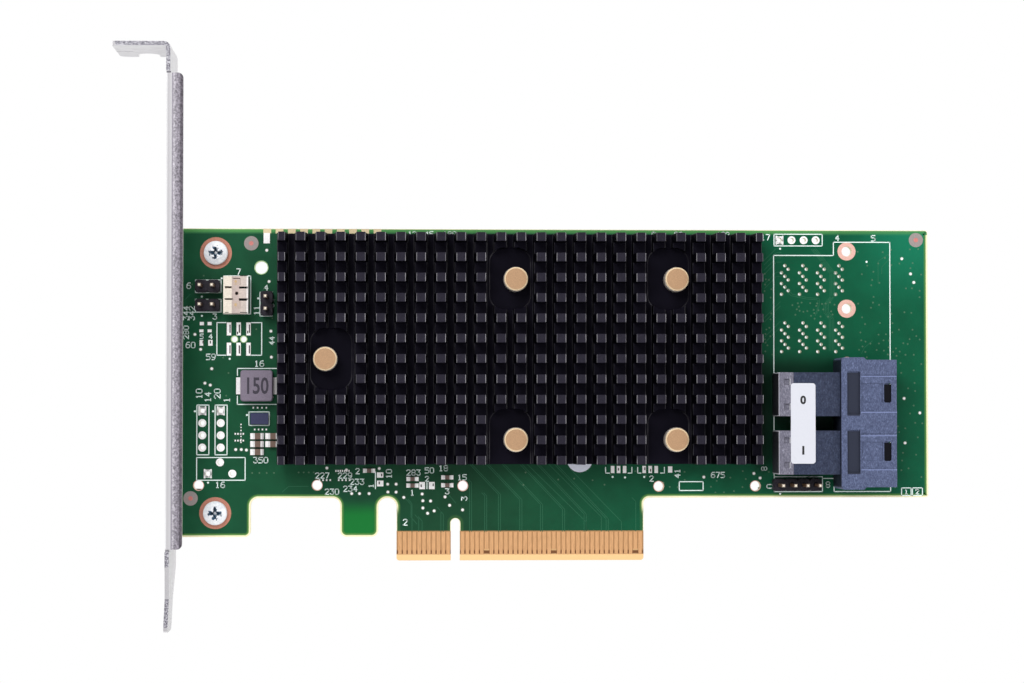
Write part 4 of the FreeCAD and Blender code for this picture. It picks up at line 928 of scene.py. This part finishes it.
# White printed marks.
printing = {
    "line": 0.19,
    "thick": 0.03,
    "dot": 0.22,
    "color": (0.80, 0.91, 0.88),
    "numbers": [    # figures, middle along and up, height, upright or turned a quarter
        ("6", -55.3, 57.0, 1.15, True), ("7", -45.0, 59.95, 1.15, True), ("4", -39.3, 56.65, 1.1, True),
        ("11", -41.25, 51.9, 1.1, False), ("3", -49.9, 50.6, 1.1, True), ("59", -50.7, 42.25, 1.15, True),
        ("60", -54.9, 44.7, 1.15, True), ("5", -52.6, 46.5, 0.95, True), ("4", -50.75, 46.5, 0.95, True),
        ("16", -40.7, 40.85, 1.15, True), ("14", -51.3, 33.9, 1.2, False), ("1", -47.4, 33.3, 1.2, False),
        ("10", -53.1, 34.6, 1.2, False), ("20", -49.35, 34.6, 1.2, False), ("350", -40.35, 20.85, 1.15, True),
        ("16", -48.7, 15.75, 1.15, True), ("344", -55.85, 51.3, 1.1, False),
        ("342", -54.65, 51.3, 1.1, False), ("280", -55.85, 47.3, 1.05, False),
        ("227", -27.6, 17.65, 1.1, True), ("229", -22.9, 17.65, 1.1, True),
        ("233", -20.4, 16.35, 1.1, True), ("230", -25.6, 14.3, 1.1, True), ("234", -21.8, 14.9, 1.1, True),
        ("2", -20.3, 18.55, 1.1, True), ("10", -13.8, 18.0, 1.1, False), ("1", -17.5, 15.5, 1.0, False),
        ("283", -8.7, 18.25, 1.1, True), ("50", -5.4, 18.7, 1.1, True), ("18", -2.5, 19.15, 1.1, True),
        ("15", 1.4, 17.25, 1.1, True), ("2", -5.9, 16.95, 1.0, True), ("1", -8.95, 14.1, 1.1, True),
        ("3", -1.7, 14.35, 1.1, True), ("3", 1.85, 12.85, 1.1, False), ("2", -10.4, 7.95, 1.2, True),
        ("17", 64.9, 67.4, 1.15, True), ("5", 87.6, 67.25, 1.15, True), ("4", 80.0, 67.3, 1.1, True),
        ("8", 77.9, 15.65, 1.15, True), ("0", 65.65, 15.3, 1.15, False), ("675", 54.8, 17.7, 1.1, True),
        ("8", 64.5, 19.0, 1.1, False), ("2", 40.9, 16.95, 1.1, True), ("41", 46.3, 18.0, 1.1, False),
        ("12", -9.0, 67.9, 1.0, True), ("45", -5.5, 67.9, 1.0, True), ("189", -1.2, 67.9, 1.0, True),
        ("9", 41.4, 67.9, 1.0, True), ("28", 46.6, 67.9, 1.0, True), ("102", 56.0, 67.9, 1.0, True),
        ("31", -38.2, 53.4, 1.0, False), ("44", -38.1, 45.6, 1.0, False), ("1", 94.4, 14.15, 0.95, True),
        ("2", 96.7, 14.15, 0.95, True)],
    "frames": [(-53.54, -51.05, 21.96, 32.26), (-49.78, -47.3, 21.96, 32.26), (-53.56, -43.55, 16.7, 21.4),
               (-48.1, -42.5, 51.15, 59.05), (66.7, 76.85, 65.6, 68.05), (66.6, 76.75, 14.2, 17.3),
               (46.7, 51.7, 14.46, 16.3),
               (93.4, 95.4, 13.35, 14.95), (95.7, 97.8, 13.35, 14.95), (-53.92, -48.62, 55.57, 58.2),
               (-53.92, -48.62, 51.52, 54.2), (-40.58, -38.02, 50.73, 55.67), (-42.8, -38.6, 28.05, 30.85)],
    "paths": [
        [(-47.6, 49.36), (-49.45, 49.36), (-49.45, 42.6), (-47.6, 42.6)],
        [(-42.3, 49.36), (-40.2, 49.36), (-40.2, 42.6), (-42.3, 42.6)],
        [(-45.2, 38.4), (-45.2, 39.85), (-37.0, 39.85)], [(-45.2, 34.1), (-45.2, 32.4), (-37.0, 32.4)],
        [(79.2, 63.6), (66.6, 63.6), (66.6, 17.4)], [(79.2, 63.6), (79.2, 66.4), (91.1, 66.4), (91.1, 14.2),
                                                     (79.2, 14.2), (79.2, 16.95), (76.75, 16.95)],
        [(31.3, 19.3), (31.3, 18.1), (32.1, 18.1)], [(36.0, 18.1), (36.8, 18.1), (36.8, 19.3)],
        [(38.0, 19.3), (38.0, 18.1), (38.7, 18.1)], [(42.8, 18.1), (43.6, 18.1), (43.6, 19.3)],
        [(-5.9, 14.9), (-5.9, 16.2)],
        [(2.2, 67.75), (7.0, 67.75)], [(9.0, 67.75), (14.0, 67.75)], [(-16.6, 14.9), (-16.6, 18.4)]],
    "dots": [(-53.95, 30.97), (-50.2, 30.97), (-51.2, 16.2), (-52.6, 54.75), (-52.57, 50.75), (-48.5, 58.55),
             (-40.95, 54.4), (-46.8, 41.85), (32.77, 17.3), (35.36, 17.2), (39.37, 17.3), (67.97, 65.0),
             (67.85, 13.75), (-43.2, 30.2), (86.2, 62.3)],
}


def makePrinting(s):
    bm = bmesh.new()
    for text, x, z, height, upright in s["numbers"]:
        addNumber(bm, text, x, z, height, upright, s["line"], s["thick"])
    for x0, x1, z0, z1 in s["frames"]:
        addFrame(bm, x0, x1, z0, z1, s["line"], s["thick"])
    for path in s["paths"]:
        addStroke(bm, path, s["line"], s["thick"])
    for x, z in s["dots"]:
        addDisc(bm, x, z, s["dot"], s["thick"], 10)
    ink = grainyMaterial("whiteInk", s["color"], 0.6, 0.0, 0.3, 8.0, 0.08, 0.004)
    finishPiece(bm, "printedMarks", ink)


makePrinting(printing)
print("printed marks made")


# Heatsink, push pins and springs.
heatsinkFinish = {
    "edge": 0.11,
    "topColor": (0.021, 0.019, 0.029),
    # painted shade: walls and the floors between the pins are darker than the tops
    "shadedSideColor": (0.0012, 0.0011, 0.0026),
    "shadedSaddleColor": (0.0048, 0.0040, 0.0090),
    # bevelled rib edges: painted highlight, brighter on the right than the left, together with wear
    "wornAndGlintEdge": (0.34, 0.33, 0.35),
    "wornAndGlintBelowTip": 0.16,
}


def heatsinkMaterial(s):
    material, tree, surface = newMaterial("blackAnodised", s["shadedSideColor"], 0.5, 0.0, 0.04)
    x, y, z = splitPoints(tree)
    nx, ny, nz = splitNormal(tree)
    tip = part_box("heatsink")[0].y / mm
    worn = grain(tree, 7.0, 4.0)
    top = grade(tree, worn, (0.3, scaled(s["topColor"], 0.7)), (0.55, s["topColor"]),
                (0.8, scaled(s["topColor"], 1.9)))
    # painted shade: faces below the tips take the darker wall and floor colours
    atTip = rises(tree, y, tip + 0.2, tip + 0.3, 1.0, 0.0)
    facing = rises(tree, ny, -0.6, -0.4, 1.0, 0.0)
    color = mixColor(tree, atTip, mixColor(tree, facing, s["shadedSideColor"], s["shadedSaddleColor"]), top)
    # painted highlight with wear on the bevelled edges, stronger on the right and weaker below the tips
    bevelled = rises(tree, ny, -0.5, -0.3, 1.0, 0.0)
    right = calc(tree, "MULTIPLY", rises(tree, nx, 0.35, 0.55), bevelled)
    left = calc(tree, "MULTIPLY", rises(tree, nx, -0.55, -0.35, 0.7, 0.0), bevelled)
    patch = rises(tree, grain(tree, 0.25, 2.0), 0.4, 0.6, 0.35, 1.0)
    edge = calc(tree, "MULTIPLY", calc(tree, "MAXIMUM", right, left), patch)
    strength = rises(tree, atTip, 0.0, 1.0, s["wornAndGlintBelowTip"], 1.0)
    color = mixColor(tree, calc(tree, "MULTIPLY", edge, strength), color, s["wornAndGlintEdge"])
    tree.links.new(color, surface.inputs["Base Color"])
    streaks = grain(tree, 3.0, 3.0, (1, 1, 0.15))
    tree.links.new(rises(tree, streaks, 0.3, 0.7, 0.42, 0.58), surface.inputs["Roughness"])
    addBump(tree, surface, worn, 0.008)
    return material


bm = mergedCopy("heatsink")
softenEdges(bm, heatsinkFinish["edge"])
finishPiece(bm, "heatsinkBody", heatsinkMaterial(heatsinkFinish), ("heatsink",))

pinPlaces = [(12.25, 58.13), (45.4, 58.13), (12.25, 25.12), (45.4, 25.12), (-26.85, 41.7)]
spring = {
    "wire": 0.26,       # the wire's radius
    "mean": 2.3,        # from the coil's axis to the wire's middle
    "turns": 4,
    "stepsPerTurn": 28,
    "wireSides": 8,
    "color": (0.62, 0.56, 0.50),
}


def makeSprings(s):
    low, high = [corner.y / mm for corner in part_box("push_pin_springs")]
    start, end = high - s["wire"], low + s["wire"]
    steps = s["turns"] * s["stepsPerTurn"]
    bm = bmesh.new()
    for x, z in pinPlaces:
        section = bmesh.ops.create_circle(bm, radius=s["wire"], segments=s["wireSides"],
                                          matrix=Matrix.Translation((x + s["mean"], start, z)))
        rim = list({edge for v in section["verts"] for edge in v.link_edges})
        swept = bmesh.ops.spin(bm, geom=section["verts"] + rim, cent=(x, start, z), axis=(0, 1, 0),
                               dvec=(0, (end - start) / steps, 0), angle=2 * math.pi * s["turns"],
                               steps=steps)
        last = [part for part in swept["geom_last"] if isinstance(part, bmesh.types.BMEdge)]
        bmesh.ops.contextual_create(bm, geom=rim)
        bmesh.ops.contextual_create(bm, geom=last)
    bmesh.ops.recalc_face_normals(bm, faces=bm.faces)
    wire = grainyMaterial("springWire", s["color"], 0.3, 0.6, 0.4, 6.0, 0.15, 0.004)
    finishPiece(bm, "pinSprings", wire, ("push_pin_springs",), smooth=True)


# the pale rim is a painted highlight on the heads' chamfers
pinFinish = {"tan": (0.43, 0.26, 0.145), "rim": (0.86, 0.66, 0.42)}


def pinMaterial(s):
    material, tree, surface = newMaterial("pushPinTan", s["tan"], 0.4, 0.0, 0.25)
    speck = grain(tree, 6.0, 4.0)
    face = grade(tree, speck, (0.3, scaled(s["tan"], 0.82)), (0.7, scaled(s["tan"], 1.12)))
    nx, ny, nz = splitNormal(tree)
    # painted highlight: the chamfer and side of each head are paler than its face
    rim = rises(tree, calc(tree, "ABSOLUTE", ny), 0.75, 0.95, 1.0, 0.0)
    tree.links.new(mixColor(tree, rim, face, s["rim"]), surface.inputs["Base Color"])
    addBump(tree, surface, speck, 0.012)
    return material


makeSprings(spring)
dress("push_pins", pinMaterial(pinFinish))
print("heatsink, pins and springs dressed")


# Mounting bracket and its screws.
bracketFinish = {
    # painted light: faces that don't look along -Y stay this bright
    "bright": (0.88, 0.87, 0.89),
    "flangeAcross": [   # place along X and tone, from the outer face to the flange's end: a painted reflection on the bend, then painted shade that deepens towards the flange's dark end
        (-58.95, (0.50, 0.49, 0.51)), (-57.82, (0.52, 0.51, 0.53)), (-57.68, (0.27, 0.25, 0.29)),
        (-57.50, (0.27, 0.25, 0.29)), (-57.36, (0.43, 0.41, 0.45)), (-57.0, (0.28, 0.26, 0.30)),
        (-56.1, (0.19, 0.172, 0.205)), (-55.98, (0.085, 0.075, 0.093)), (-55.45, (0.10, 0.085, 0.105))],
    "flangeTop": 99.55,
    "flangeBottom": 3.05,
    "mottledFrom": (-57.8, -57.2),
    "shearedSpots": [(0.42, (0.10, 0.095, 0.12)), (0.52, (0.30, 0.29, 0.33)), (0.62, (0.55, 0.54, 0.58))],
}


def bracketMaterial(s):
    bright = s["bright"]
    material, tree, surface = newMaterial("zincedSteel", bright, 0.45, 0.1, 0.25)
    nx, ny, nz = splitNormal(tree)
    x, y, z = splitPoints(tree)
    low, high = s["flangeAcross"][0][0], s["flangeAcross"][-1][0]
    stops = [((place - low) / (high - low), tone) for place, tone in s["flangeAcross"]]
    across = grade(tree, spread(tree, x, low, high), *stops)
    crystals = grain(tree, 2.4, 4.0, (1.1, 1, 0.9), 0.75)
    mottle = grade(tree, crystals, (0.36, (0.50, 0.50, 0.50)), (0.5, (1.0, 1.0, 1.0)),
                   (0.64, (1.65, 1.65, 1.62)))
    mottled = rises(tree, x, *s["mottledFrom"])
    flange = mixColor(tree, mottled, across, mixColor(tree, 1.0, across, mottle, "MULTIPLY"))
    rolled = grain(tree, 0.5, 4.0, (1, 1, 0.3))
    side = grade(tree, rolled, (0.3, scaled(bright, 0.93)), (0.7, scaled(bright, 1.04)))
    # painted shade and light: faces looking along -Y take the darker flange tones, the rest stay bright
    facing = rises(tree, ny, -0.75, -0.45, 1.0, 0.0)
    color = mixColor(tree, facing, side, flange)
    beyond = calc(tree, "MAXIMUM", rises(tree, z, s["flangeTop"] + 0.1, s["flangeTop"] + 0.3),
                  rises(tree, z, s["flangeBottom"] - 0.3, s["flangeBottom"] - 0.1, 1.0, 0.0))
    sheared = calc(tree, "MULTIPLY", rises(tree, ny, -0.98, -0.9, 1.0, 0.0), beyond)
    spots = grade(tree, grain(tree, 2.6, 3.0, (1.5, 1, 1.5)), *s["shearedSpots"])
    tree.links.new(mixColor(tree, sheared, color, spots), surface.inputs["Base Color"])
    tree.links.new(rises(tree, crystals, 0.3, 0.7, 0.54, 0.40), surface.inputs["Roughness"])
    addBump(tree, surface, crystals, 0.02)
    return material


screwFinish = {
    "recessRadius": 1.32,
    "armHalf": 0.42,
    "centreFade": (0.30, 0.42),     # the recess's middle stays pale this far out
    # painted shade in the cross recess, dark blue with ragged edges
    "recess": (0.045, 0.125, 0.215),
    "recessDeep": (0.012, 0.022, 0.045),
}


def screwMaterial(s):
    material, tree, surface = newMaterial("zincedScrew", (0.84, 0.85, 0.88), 0.32, 0.1, 0.35)
    x, y, z = splitPoints(tree)
    ragged = rises(tree, grain(tree, 2.6, 3.0), 0.3, 0.7, -0.28, 0.28)
    radius, half = s["recessRadius"], s["armHalf"]
    star = 0.0
    for screwX, screwZ in screwPlaces:
        dx = calc(tree, "ABSOLUTE", calc(tree, "SUBTRACT", x, screwX))
        dz = calc(tree, "ABSOLUTE", calc(tree, "SUBTRACT", z, screwZ))
        squares = calc(tree, "ADD", calc(tree, "MULTIPLY", dx, dx), calc(tree, "MULTIPLY", dz, dz))
        reach = calc(tree, "ADD", calc(tree, "SQRT", squares), ragged)
        arm = calc(tree, "ADD", calc(tree, "MINIMUM", dx, dz), ragged)
        inside = calc(tree, "MULTIPLY", rises(tree, reach, radius - 0.1, radius + 0.1, 1.0, 0.0),
                      rises(tree, arm, half - 0.08, half + 0.08, 1.0, 0.0))
        inside = calc(tree, "MULTIPLY", inside, rises(tree, calc(tree, "ADD", dx, dz), *s["centreFade"]))
        star = calc(tree, "MAXIMUM", star, inside)
    pale = grade(tree, grain(tree, 2.2, 3.0), (0.35, (0.76, 0.78, 0.84)), (0.65, (0.93, 0.94, 0.96)))
    # painted shade in the cross recess
    dark = grade(tree, grain(tree, 3.0, 3.0), (0.42, s["recessDeep"]), (0.58, s["recess"]))
    tree.links.new(mixColor(tree, star, pale, dark), surface.inputs["Base Color"])
    addBump(tree, surface, grain(tree, 3.0, 3.0), 0.02)
    return material


dress("mounting_bracket", bracketMaterial(bracketFinish))
dress("bracket_screws", screwMaterial(screwFinish))
print("bracket dressed")


# Drive connector.
connector = {
    "housing": [(0.055, 0.072, 0.140), (0.105, 0.128, 0.230)],      # dark and light tones
    "body": [(0.019, 0.027, 0.058), (0.038, 0.048, 0.088)],
    "cover": [(0.130, 0.126, 0.165), (0.19, 0.185, 0.24)],
    # painted highlight on the covers' bevelled faces that look left
    "coverEdgeHighlight": (0.62, 0.62, 0.68),
    "seams": [38.15, 30.75, 25.94, 18.95],
    "seamsFrom": (83.1, 83.2),
    "housingWindowShade": (80.3, 82.95, 4.42, 0.20),     # painted shade in the latch windows: from, to, half width, shade
    # painted shade inside the ports' mouths
    "bodyMouthShade": (83.2, 99.0, 6.0, 0.05),
    "fitted": portPlaces["middles"][1::-1],         # the upper port comes first
    "housingEdge": 0.12,
    "bodyEdge": 0.12,
    "coverEdge": 0.1,
    "label": (0.61, 0.62, 0.68),
    "figures": [("0", 33.3), ("1", 22.95)],
    "figureHeight": 1.8,
    "figureDepth": 0.02,
    "figureBold": 0.045,
    # thin near-black plates: painted shade on the ports' mouth floors and under the latch slots
    "mouthShadePlate": (84.0, 90.4, 3.5, 0.5),           # from, to, half width, thickness
    "slotShadePlate": (87.95, 89.42, 2.0, 0.1),
    "slotDepth": 0.55,
    "shade": (0.004, 0.004, 0.007),
}


def plasticMaterial(name, dark, light, seams=(), hollowShade=None, edgeHighlight=None, shadedWalls=True):
    material, tree, surface = newMaterial(name, dark, 0.5, 0.0, 0.2)
    x, y, z = splitPoints(tree)
    nx, ny, nz = splitNormal(tree)
    cloud = grain(tree, 1.6, 6.0, (1, 1, 1), 0.8)
    scratch = grain(tree, 3.2, 4.0, (1.6, 1, 0.7), 0.7)
    tone = grade(tree, cloud, (0.35, dark), (0.65, light))
    marks = grade(tree, scratch, (0.36, (0.66, 0.66, 0.70)), (0.54, (1, 1, 1)), (0.68, (1.8, 1.8, 1.7)))
    color = mixColor(tree, 1.0, tone, marks, "MULTIPLY")
    for place in seams:
        line = calc(tree, "MULTIPLY", between(tree, z, place - 0.09, place + 0.09),
                    rises(tree, x, *connector["seamsFrom"]))
        color = mixColor(tree, calc(tree, "MULTIPLY", line, 0.55), color, scaled(light, 2.4))
    # painted shade in hollows: the latch windows and the ports' mouths
    if hollowShade:
        x0, x1, half, shade = hollowShade
        for middle in connector["fitted"]:
            apart = calc(tree, "ABSOLUTE", calc(tree, "SUBTRACT", z, middle))
            inside = calc(tree, "MULTIPLY", between(tree, x, x0, x1),
                          rises(tree, apart, half - 0.05, half + 0.05, 1.0, 0.0))
            color = mixColor(tree, inside, color, scaled(light, shade))
    # painted highlight on the bevelled faces that look left
    if edgeHighlight:
        color = mixColor(tree, between(tree, nx, -0.85, -0.3, 0.1), color, edgeHighlight)
    if shadedWalls:      # painted shade: walls that look towards the bracket stay dark
        color = mixColor(tree, rises(tree, nx, -0.95, -0.85, 0.9, 0.0), color, scaled(dark, 0.12))
    tree.links.new(color, surface.inputs["Base Color"])
    tree.links.new(rises(tree, cloud, 0.3, 0.7, 0.42, 0.6), surface.inputs["Roughness"])
    addBump(tree, surface, scratch, 0.012)
    return material


def makePorts(s):
    housing = plasticMaterial("connectorPlastic", *s["housing"], s["seams"], s["housingWindowShade"])
    body = plasticMaterial("connectorBodyPlastic", *s["body"], (), s["bodyMouthShade"])
    cover = plasticMaterial("coverPlastic", *s["cover"], edgeHighlight=s["coverEdgeHighlight"])
    for node, name, edge, material, slotName in (
            ("port_housing", "portShell", s["housingEdge"], housing, "port_plastic"),
            ("port_body_upper", "upperPortBody", s["bodyEdge"], body, "port_plastic"),
            ("port_body_lower", "lowerPortBody", s["bodyEdge"], body, "port_plastic"),
            ("port_cover_upper", "upperPortCover", s["coverEdge"], cover, "cover_plastic"),
            ("port_cover_lower", "lowerPortCover", s["coverEdge"], cover, "cover_plastic")):
        bm = mergedCopy(node)
        softenEdges(bm, edge, 2)
        finishPiece(bm, name, material, (node,))


def makeMouthShadePlates(s):
    # dark plates standing in for the shade in the mouths and latch slots
    bm = bmesh.new()
    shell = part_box("port_housing")[0].y / mm
    for (x0, x1, half, thick), face in ((s["mouthShadePlate"], frontY), (s["slotShadePlate"], shell + s["slotDepth"])):
        for middle in s["fitted"]:
            addPlate(bm, x0, x1, middle - half, middle + half, thick, face)
    finishPiece(bm, "mouthShadePlates", grainyMaterial("mouthShade", s["shade"], 0.6, 0.0, 0.1))


def makeLabel(s):
    low, high = [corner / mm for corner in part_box("port_label")]
    turn = Matrix.Rotation(math.pi / 2, 4, "X")
    ink = grainyMaterial("blackInk", (0.02, 0.02, 0.022), 0.6, 0.0, 0.3, 8.0, 0.2, 0.002)
    dress("port_label", grainyMaterial("labelPaper", s["label"], 0.55, 0.0, 0.3, 3.0, 0.02, 0.006))
    for text, z in s["figures"]:
        bm = figureMesh(text, s["figureHeight"], s["figureDepth"], s["figureBold"])
        place = Matrix.Translation(((low.x + high.x) / 2, low.y, z))
        bmesh.ops.transform(bm, verts=bm.verts, matrix=place @ turn)
        finishPiece(bm, "labelFigure" + text, ink)


makePorts(connector)
makeMouthShadePlates(connector)
makeLabel(connector)
print("drive connector dressed")


# Headers, socket and small parts.
socket = {
    "edge": 0.12,
    "across": [     # share of the width and tone, from the bracket's side; the pale last stop is a painted highlight along the right edge
        (0.0, (0.76, 0.70, 0.60)), (0.33, (0.74, 0.67, 0.58)), (0.36, (0.47, 0.39, 0.36)),
        (0.62, (0.54, 0.44, 0.41)), (0.66, (0.60, 0.51, 0.46)), (0.92, (0.56, 0.49, 0.45)),
        (0.955, (0.86, 0.84, 0.82))],
    "floor": (0.50, 0.40, 0.35),
    "floorHalf": (0.9, 1.05),
    "floorThick": 0.25,
    "floorDepth": 0.3,
    "floorOffset": 2.25,        # each pocket's middle lies this far above or below the socket's
    "mark": (0.55, 0.38, 0.20),
    "markDepth": 0.05,
    "markThick": 0.04,
    "dotRadius": 0.27,
    "dotUp": (0.38, 0.12),      # above the pocket's middle, more in the upper one and less in the lower
    "barHalf": 0.3,
    "barHigh": 0.1,
    "slits": [      # thin near-black plates, painted shade in the slits: share of the width from and to, height of the middle, height of the slit
        (0.06, 0.34, 5.50, 0.20), (0.06, 0.34, 3.0, 0.20), (0.64, 0.95, 5.34, 0.42), (0.64, 0.95, 2.82, 0.42),
        (0.67, 0.97, 7.76, 0.12), (0.67, 0.97, 0.22, 0.16), (0.06, 0.22, 0.22, 0.14)],
    "slitDepth": 0.002,
    "slitThick": 0.004,
    "slitShadeColor": (0.006, 0.006, 0.006),
}


def socketMaterial(s):
    low, high = [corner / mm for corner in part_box("keyed_socket")]
    material, tree, surface = newMaterial("socketPlastic", (0.74, 0.66, 0.57), 0.45, 0.0, 0.2)
    x, y, z = splitPoints(tree)
    across = grade(tree, spread(tree, x, low.x, high.x), *s["across"])
    speck = grade(tree, grain(tree, 3.0, 4.0, (1, 1, 2.0)), (0.35, (0.88, 0.87, 0.86)),
                  (0.65, (1.06, 1.05, 1.04)))
    tree.links.new(mixColor(tree, 1.0, across, speck, "MULTIPLY"), surface.inputs["Base Color"])
    addBump(tree, surface, grain(tree, 3.0, 4.0), 0.01)
    return material


def makeSocket(s):
    bm = mergedCopy("keyed_socket")
    softenEdges(bm, s["edge"])
    finishPiece(bm, "socketBody", socketMaterial(s), ("keyed_socket",))
    low, high = [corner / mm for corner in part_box("keyed_socket")]
    wide, middleX, middleZ = high.x - low.x, (low.x + high.x) / 2, (low.z + high.z) / 2
    floors, marks, slits = bmesh.new(), bmesh.new(), bmesh.new()
    halfWide, halfHigh = s["floorHalf"]
    markFace = low.y + s["markDepth"]
    for side in (-1, 1):
        z = middleZ + s["floorOffset"] * side
        addPlate(floors, middleX - halfWide, middleX + halfWide, z - halfHigh, z + halfHigh, s["floorThick"],
                 low.y + s["floorDepth"])
        dotZ = z + s["dotUp"][0] + s["dotUp"][1] * side
        addDisc(marks, middleX, dotZ, s["dotRadius"], s["markThick"], 12, markFace)
        addPlate(marks, middleX - s["barHalf"], middleX + s["barHalf"], z - s["barHigh"], z, s["markThick"],
                 markFace)
    # near-black plates in the slits: painted shade
    for x0, x1, up, tall in s["slits"]:
        middle = low.z + up
        addPlate(slits, low.x + wide * x0, low.x + wide * x1, middle - tall / 2, middle + tall / 2,
                 s["slitThick"], low.y + s["slitDepth"])
    floorMaterial = grainyMaterial("socketFloor", s["floor"], 0.5, 0.0, 0.2)
    markMaterial = grainyMaterial("socketGold", s["mark"], 0.4, 0.0, 0.3)
    slitMaterial = grainyMaterial("slitShade", s["slitShadeColor"], 0.6, 0.0, 0.1)
    finishPiece(floors, "socketFloors", floorMaterial)
    finishPiece(marks, "socketTips", markMaterial)
    finishPiece(slits, "socketSlitShades", slitMaterial)


header = {"edge": 0.1, "dark": (0.013, 0.011, 0.017), "light": (0.024, 0.020, 0.029)}
headerMaterial = plasticMaterial("headerPlastic", header["dark"], header["light"], shadedWalls=False)
for node in ("activity_header", "fault_header", "option_header", "serial_header"):
    bm = mergedCopy(node)
    softenEdges(bm, header["edge"])
    finishPiece(bm, node.split("_")[0] + "HeaderBody", headerMaterial, (node,))
makeSocket(socket)

goldMaterial = grainyMaterial("contactGold", (0.62, 0.335, 0.155), 0.36, 0.1, 0.3, 2.2, 0.16, 0.006,
                              (3.0, 1, 0.25))
pinGold = grainyMaterial("pinGold", (0.85, 0.62, 0.32), 0.22, 0.8, 0.5, 6.0, 0.12, 0.006)
# painted shade below and painted light above on the pins' sides
pinTips = {"tip": (0.95, 0.86, 0.72), "below": (0.045, 0.018, 0.010), "above": (0.22, 0.13, 0.07)}


def pinTipMaterial(s):
    material, tree, surface = newMaterial("pinTipGold", (0.85, 0.72, 0.52), 0.3, 0.2, 0.4)
    nx, ny, nz = splitNormal(tree)
    tip = rises(tree, ny, -0.85, -0.6, 1.0, 0.0)
    # painted shade and light: sides facing down are dark, sides facing up lighter
    sides = grade(tree, rises(tree, nz, -0.7, 0.5), (0.0, s["below"]), (1.0, s["above"]))
    tree.links.new(mixColor(tree, tip, sides, s["tip"]), surface.inputs["Base Color"])
    addBump(tree, surface, grain(tree, 6.0, 3.0), 0.004)
    return material


endTin = grainyMaterial("partTin", (0.74, 0.73, 0.73), 0.34, 0.1, 0.3, 4.0, 0.15, 0.012)
chipBlack = grainyMaterial("chipEpoxy", (0.012, 0.012, 0.013), 0.55, 0.0, 0.4, 8.0, 0.2, 0.006)
ceramic = grainyMaterial("capacitorBody", (0.16, 0.10, 0.075), 0.45, 0.0, 0.4, 6.0, 0.12, 0.006)
dressing = {
    "edge_contacts_front": goldMaterial, "edge_contacts_back": goldMaterial,
    "controller_substrate": grainyMaterial("substrateGreen", (0.02, 0.10, 0.05), 0.4, 0.0, 0.4, 5.0, 0.15,
                                           0.004),
    "controller_solder_balls": tinMaterial,
    "controller_lid": grainyMaterial("lidNickel", (0.6, 0.6, 0.6), 0.35, 0.9),
    "thermal_pad": grainyMaterial("thermalGrey", (0.30, 0.31, 0.33), 0.8, 0.0, 0.3, 3.0, 0.12, 0.02),
    "port_contacts_upper": pinGold, "port_contacts_lower": pinGold, "port_pins": endTin,
    "header_pins": pinTipMaterial(pinTips), "keyed_socket_contacts": pinGold,
    "power_inductor": grainyMaterial("ferriteGrey", (0.195, 0.165, 0.215), 0.6, 0.0, 0.2, 7.0, 0.16, 0.02),
    "power_inductor_terminals": tinMaterial,
    "regulator_chip": grainyMaterial("moldedBlue", (0.028, 0.032, 0.095), 0.35, 0.0, 0.5, 6.0, 0.2, 0.006),
    "ceramic_capacitors": ceramic, "ceramic_capacitor_ends": endTin,
    "chip_fuses": grainyMaterial("fuseBody", (0.16, 0.105, 0.09), 0.45, 0.0, 0.3, 3.0, 0.3, 0.006),
    "chip_fuse_ends": endTin, "back_capacitors": ceramic, "back_capacitor_ends": endTin,
    "flash_chip": chipBlack, "flash_chip_leads": endTin, "memory_chip": chipBlack,
    "hidden_inductors": grainyMaterial("coilGrey", (0.13, 0.13, 0.14), 0.6, 0.0, 0.35, 7.0, 0.15, 0.02),
    "round_sticker": grainyMaterial("stickerPaper", (0.72, 0.74, 0.86), 0.5, 0.0, 0.3, 3.0, 0.03, 0.004),
}
for node, material in dressing.items():
    dress(node, material)


topPads = {"beige": (0.70, 0.58, 0.36), "tipDown": (1.1, 0.85)}     # bare from this far under the top edge


def topPadMaterial(s):
    material, tree, surface = newMaterial("topPadBeige", s["beige"], 0.4, 0.0, 0.2)
    x, y, z = splitPoints(tree)
    tip = rises(tree, z, *[boardTop - down for down in s["tipDown"]])
    color = mixColor(tree, tip, maskColor(tree, boardFinish), s["beige"])
    tree.links.new(color, surface.inputs["Base Color"])
    addBump(tree, surface, grain(tree, 4.0, 3.0), 0.004)
    return material


coil = {
    "figures": "150",
    "height": 3.5,
    "depth": 0.02,
    "bold": 0.02,
    "narrow": 0.72,
    "color": (0.055, 0.048, 0.065),
}


def makeCoilFigures(s):
    low, high = [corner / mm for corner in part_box("power_inductor")]
    bm = figureMesh(s["figures"], s["height"], s["depth"], s["bold"])
    place = Matrix.Translation(((low.x + high.x) / 2, low.y, (low.z + high.z) / 2))
    turn = Matrix.Rotation(math.pi / 2, 4, "X")
    bmesh.ops.transform(bm, verts=bm.verts, matrix=place @ turn @ Matrix.Diagonal((s["narrow"], 1, 1, 1)))
    paint = grainyMaterial("figurePaint", s["color"], 0.7, 0.0, 0.2)
    finishPiece(bm, "inductorFigures", paint)


dress("top_edge_pads", topPadMaterial(topPads))
makeCoilFigures(coil)
print("small parts dressed")
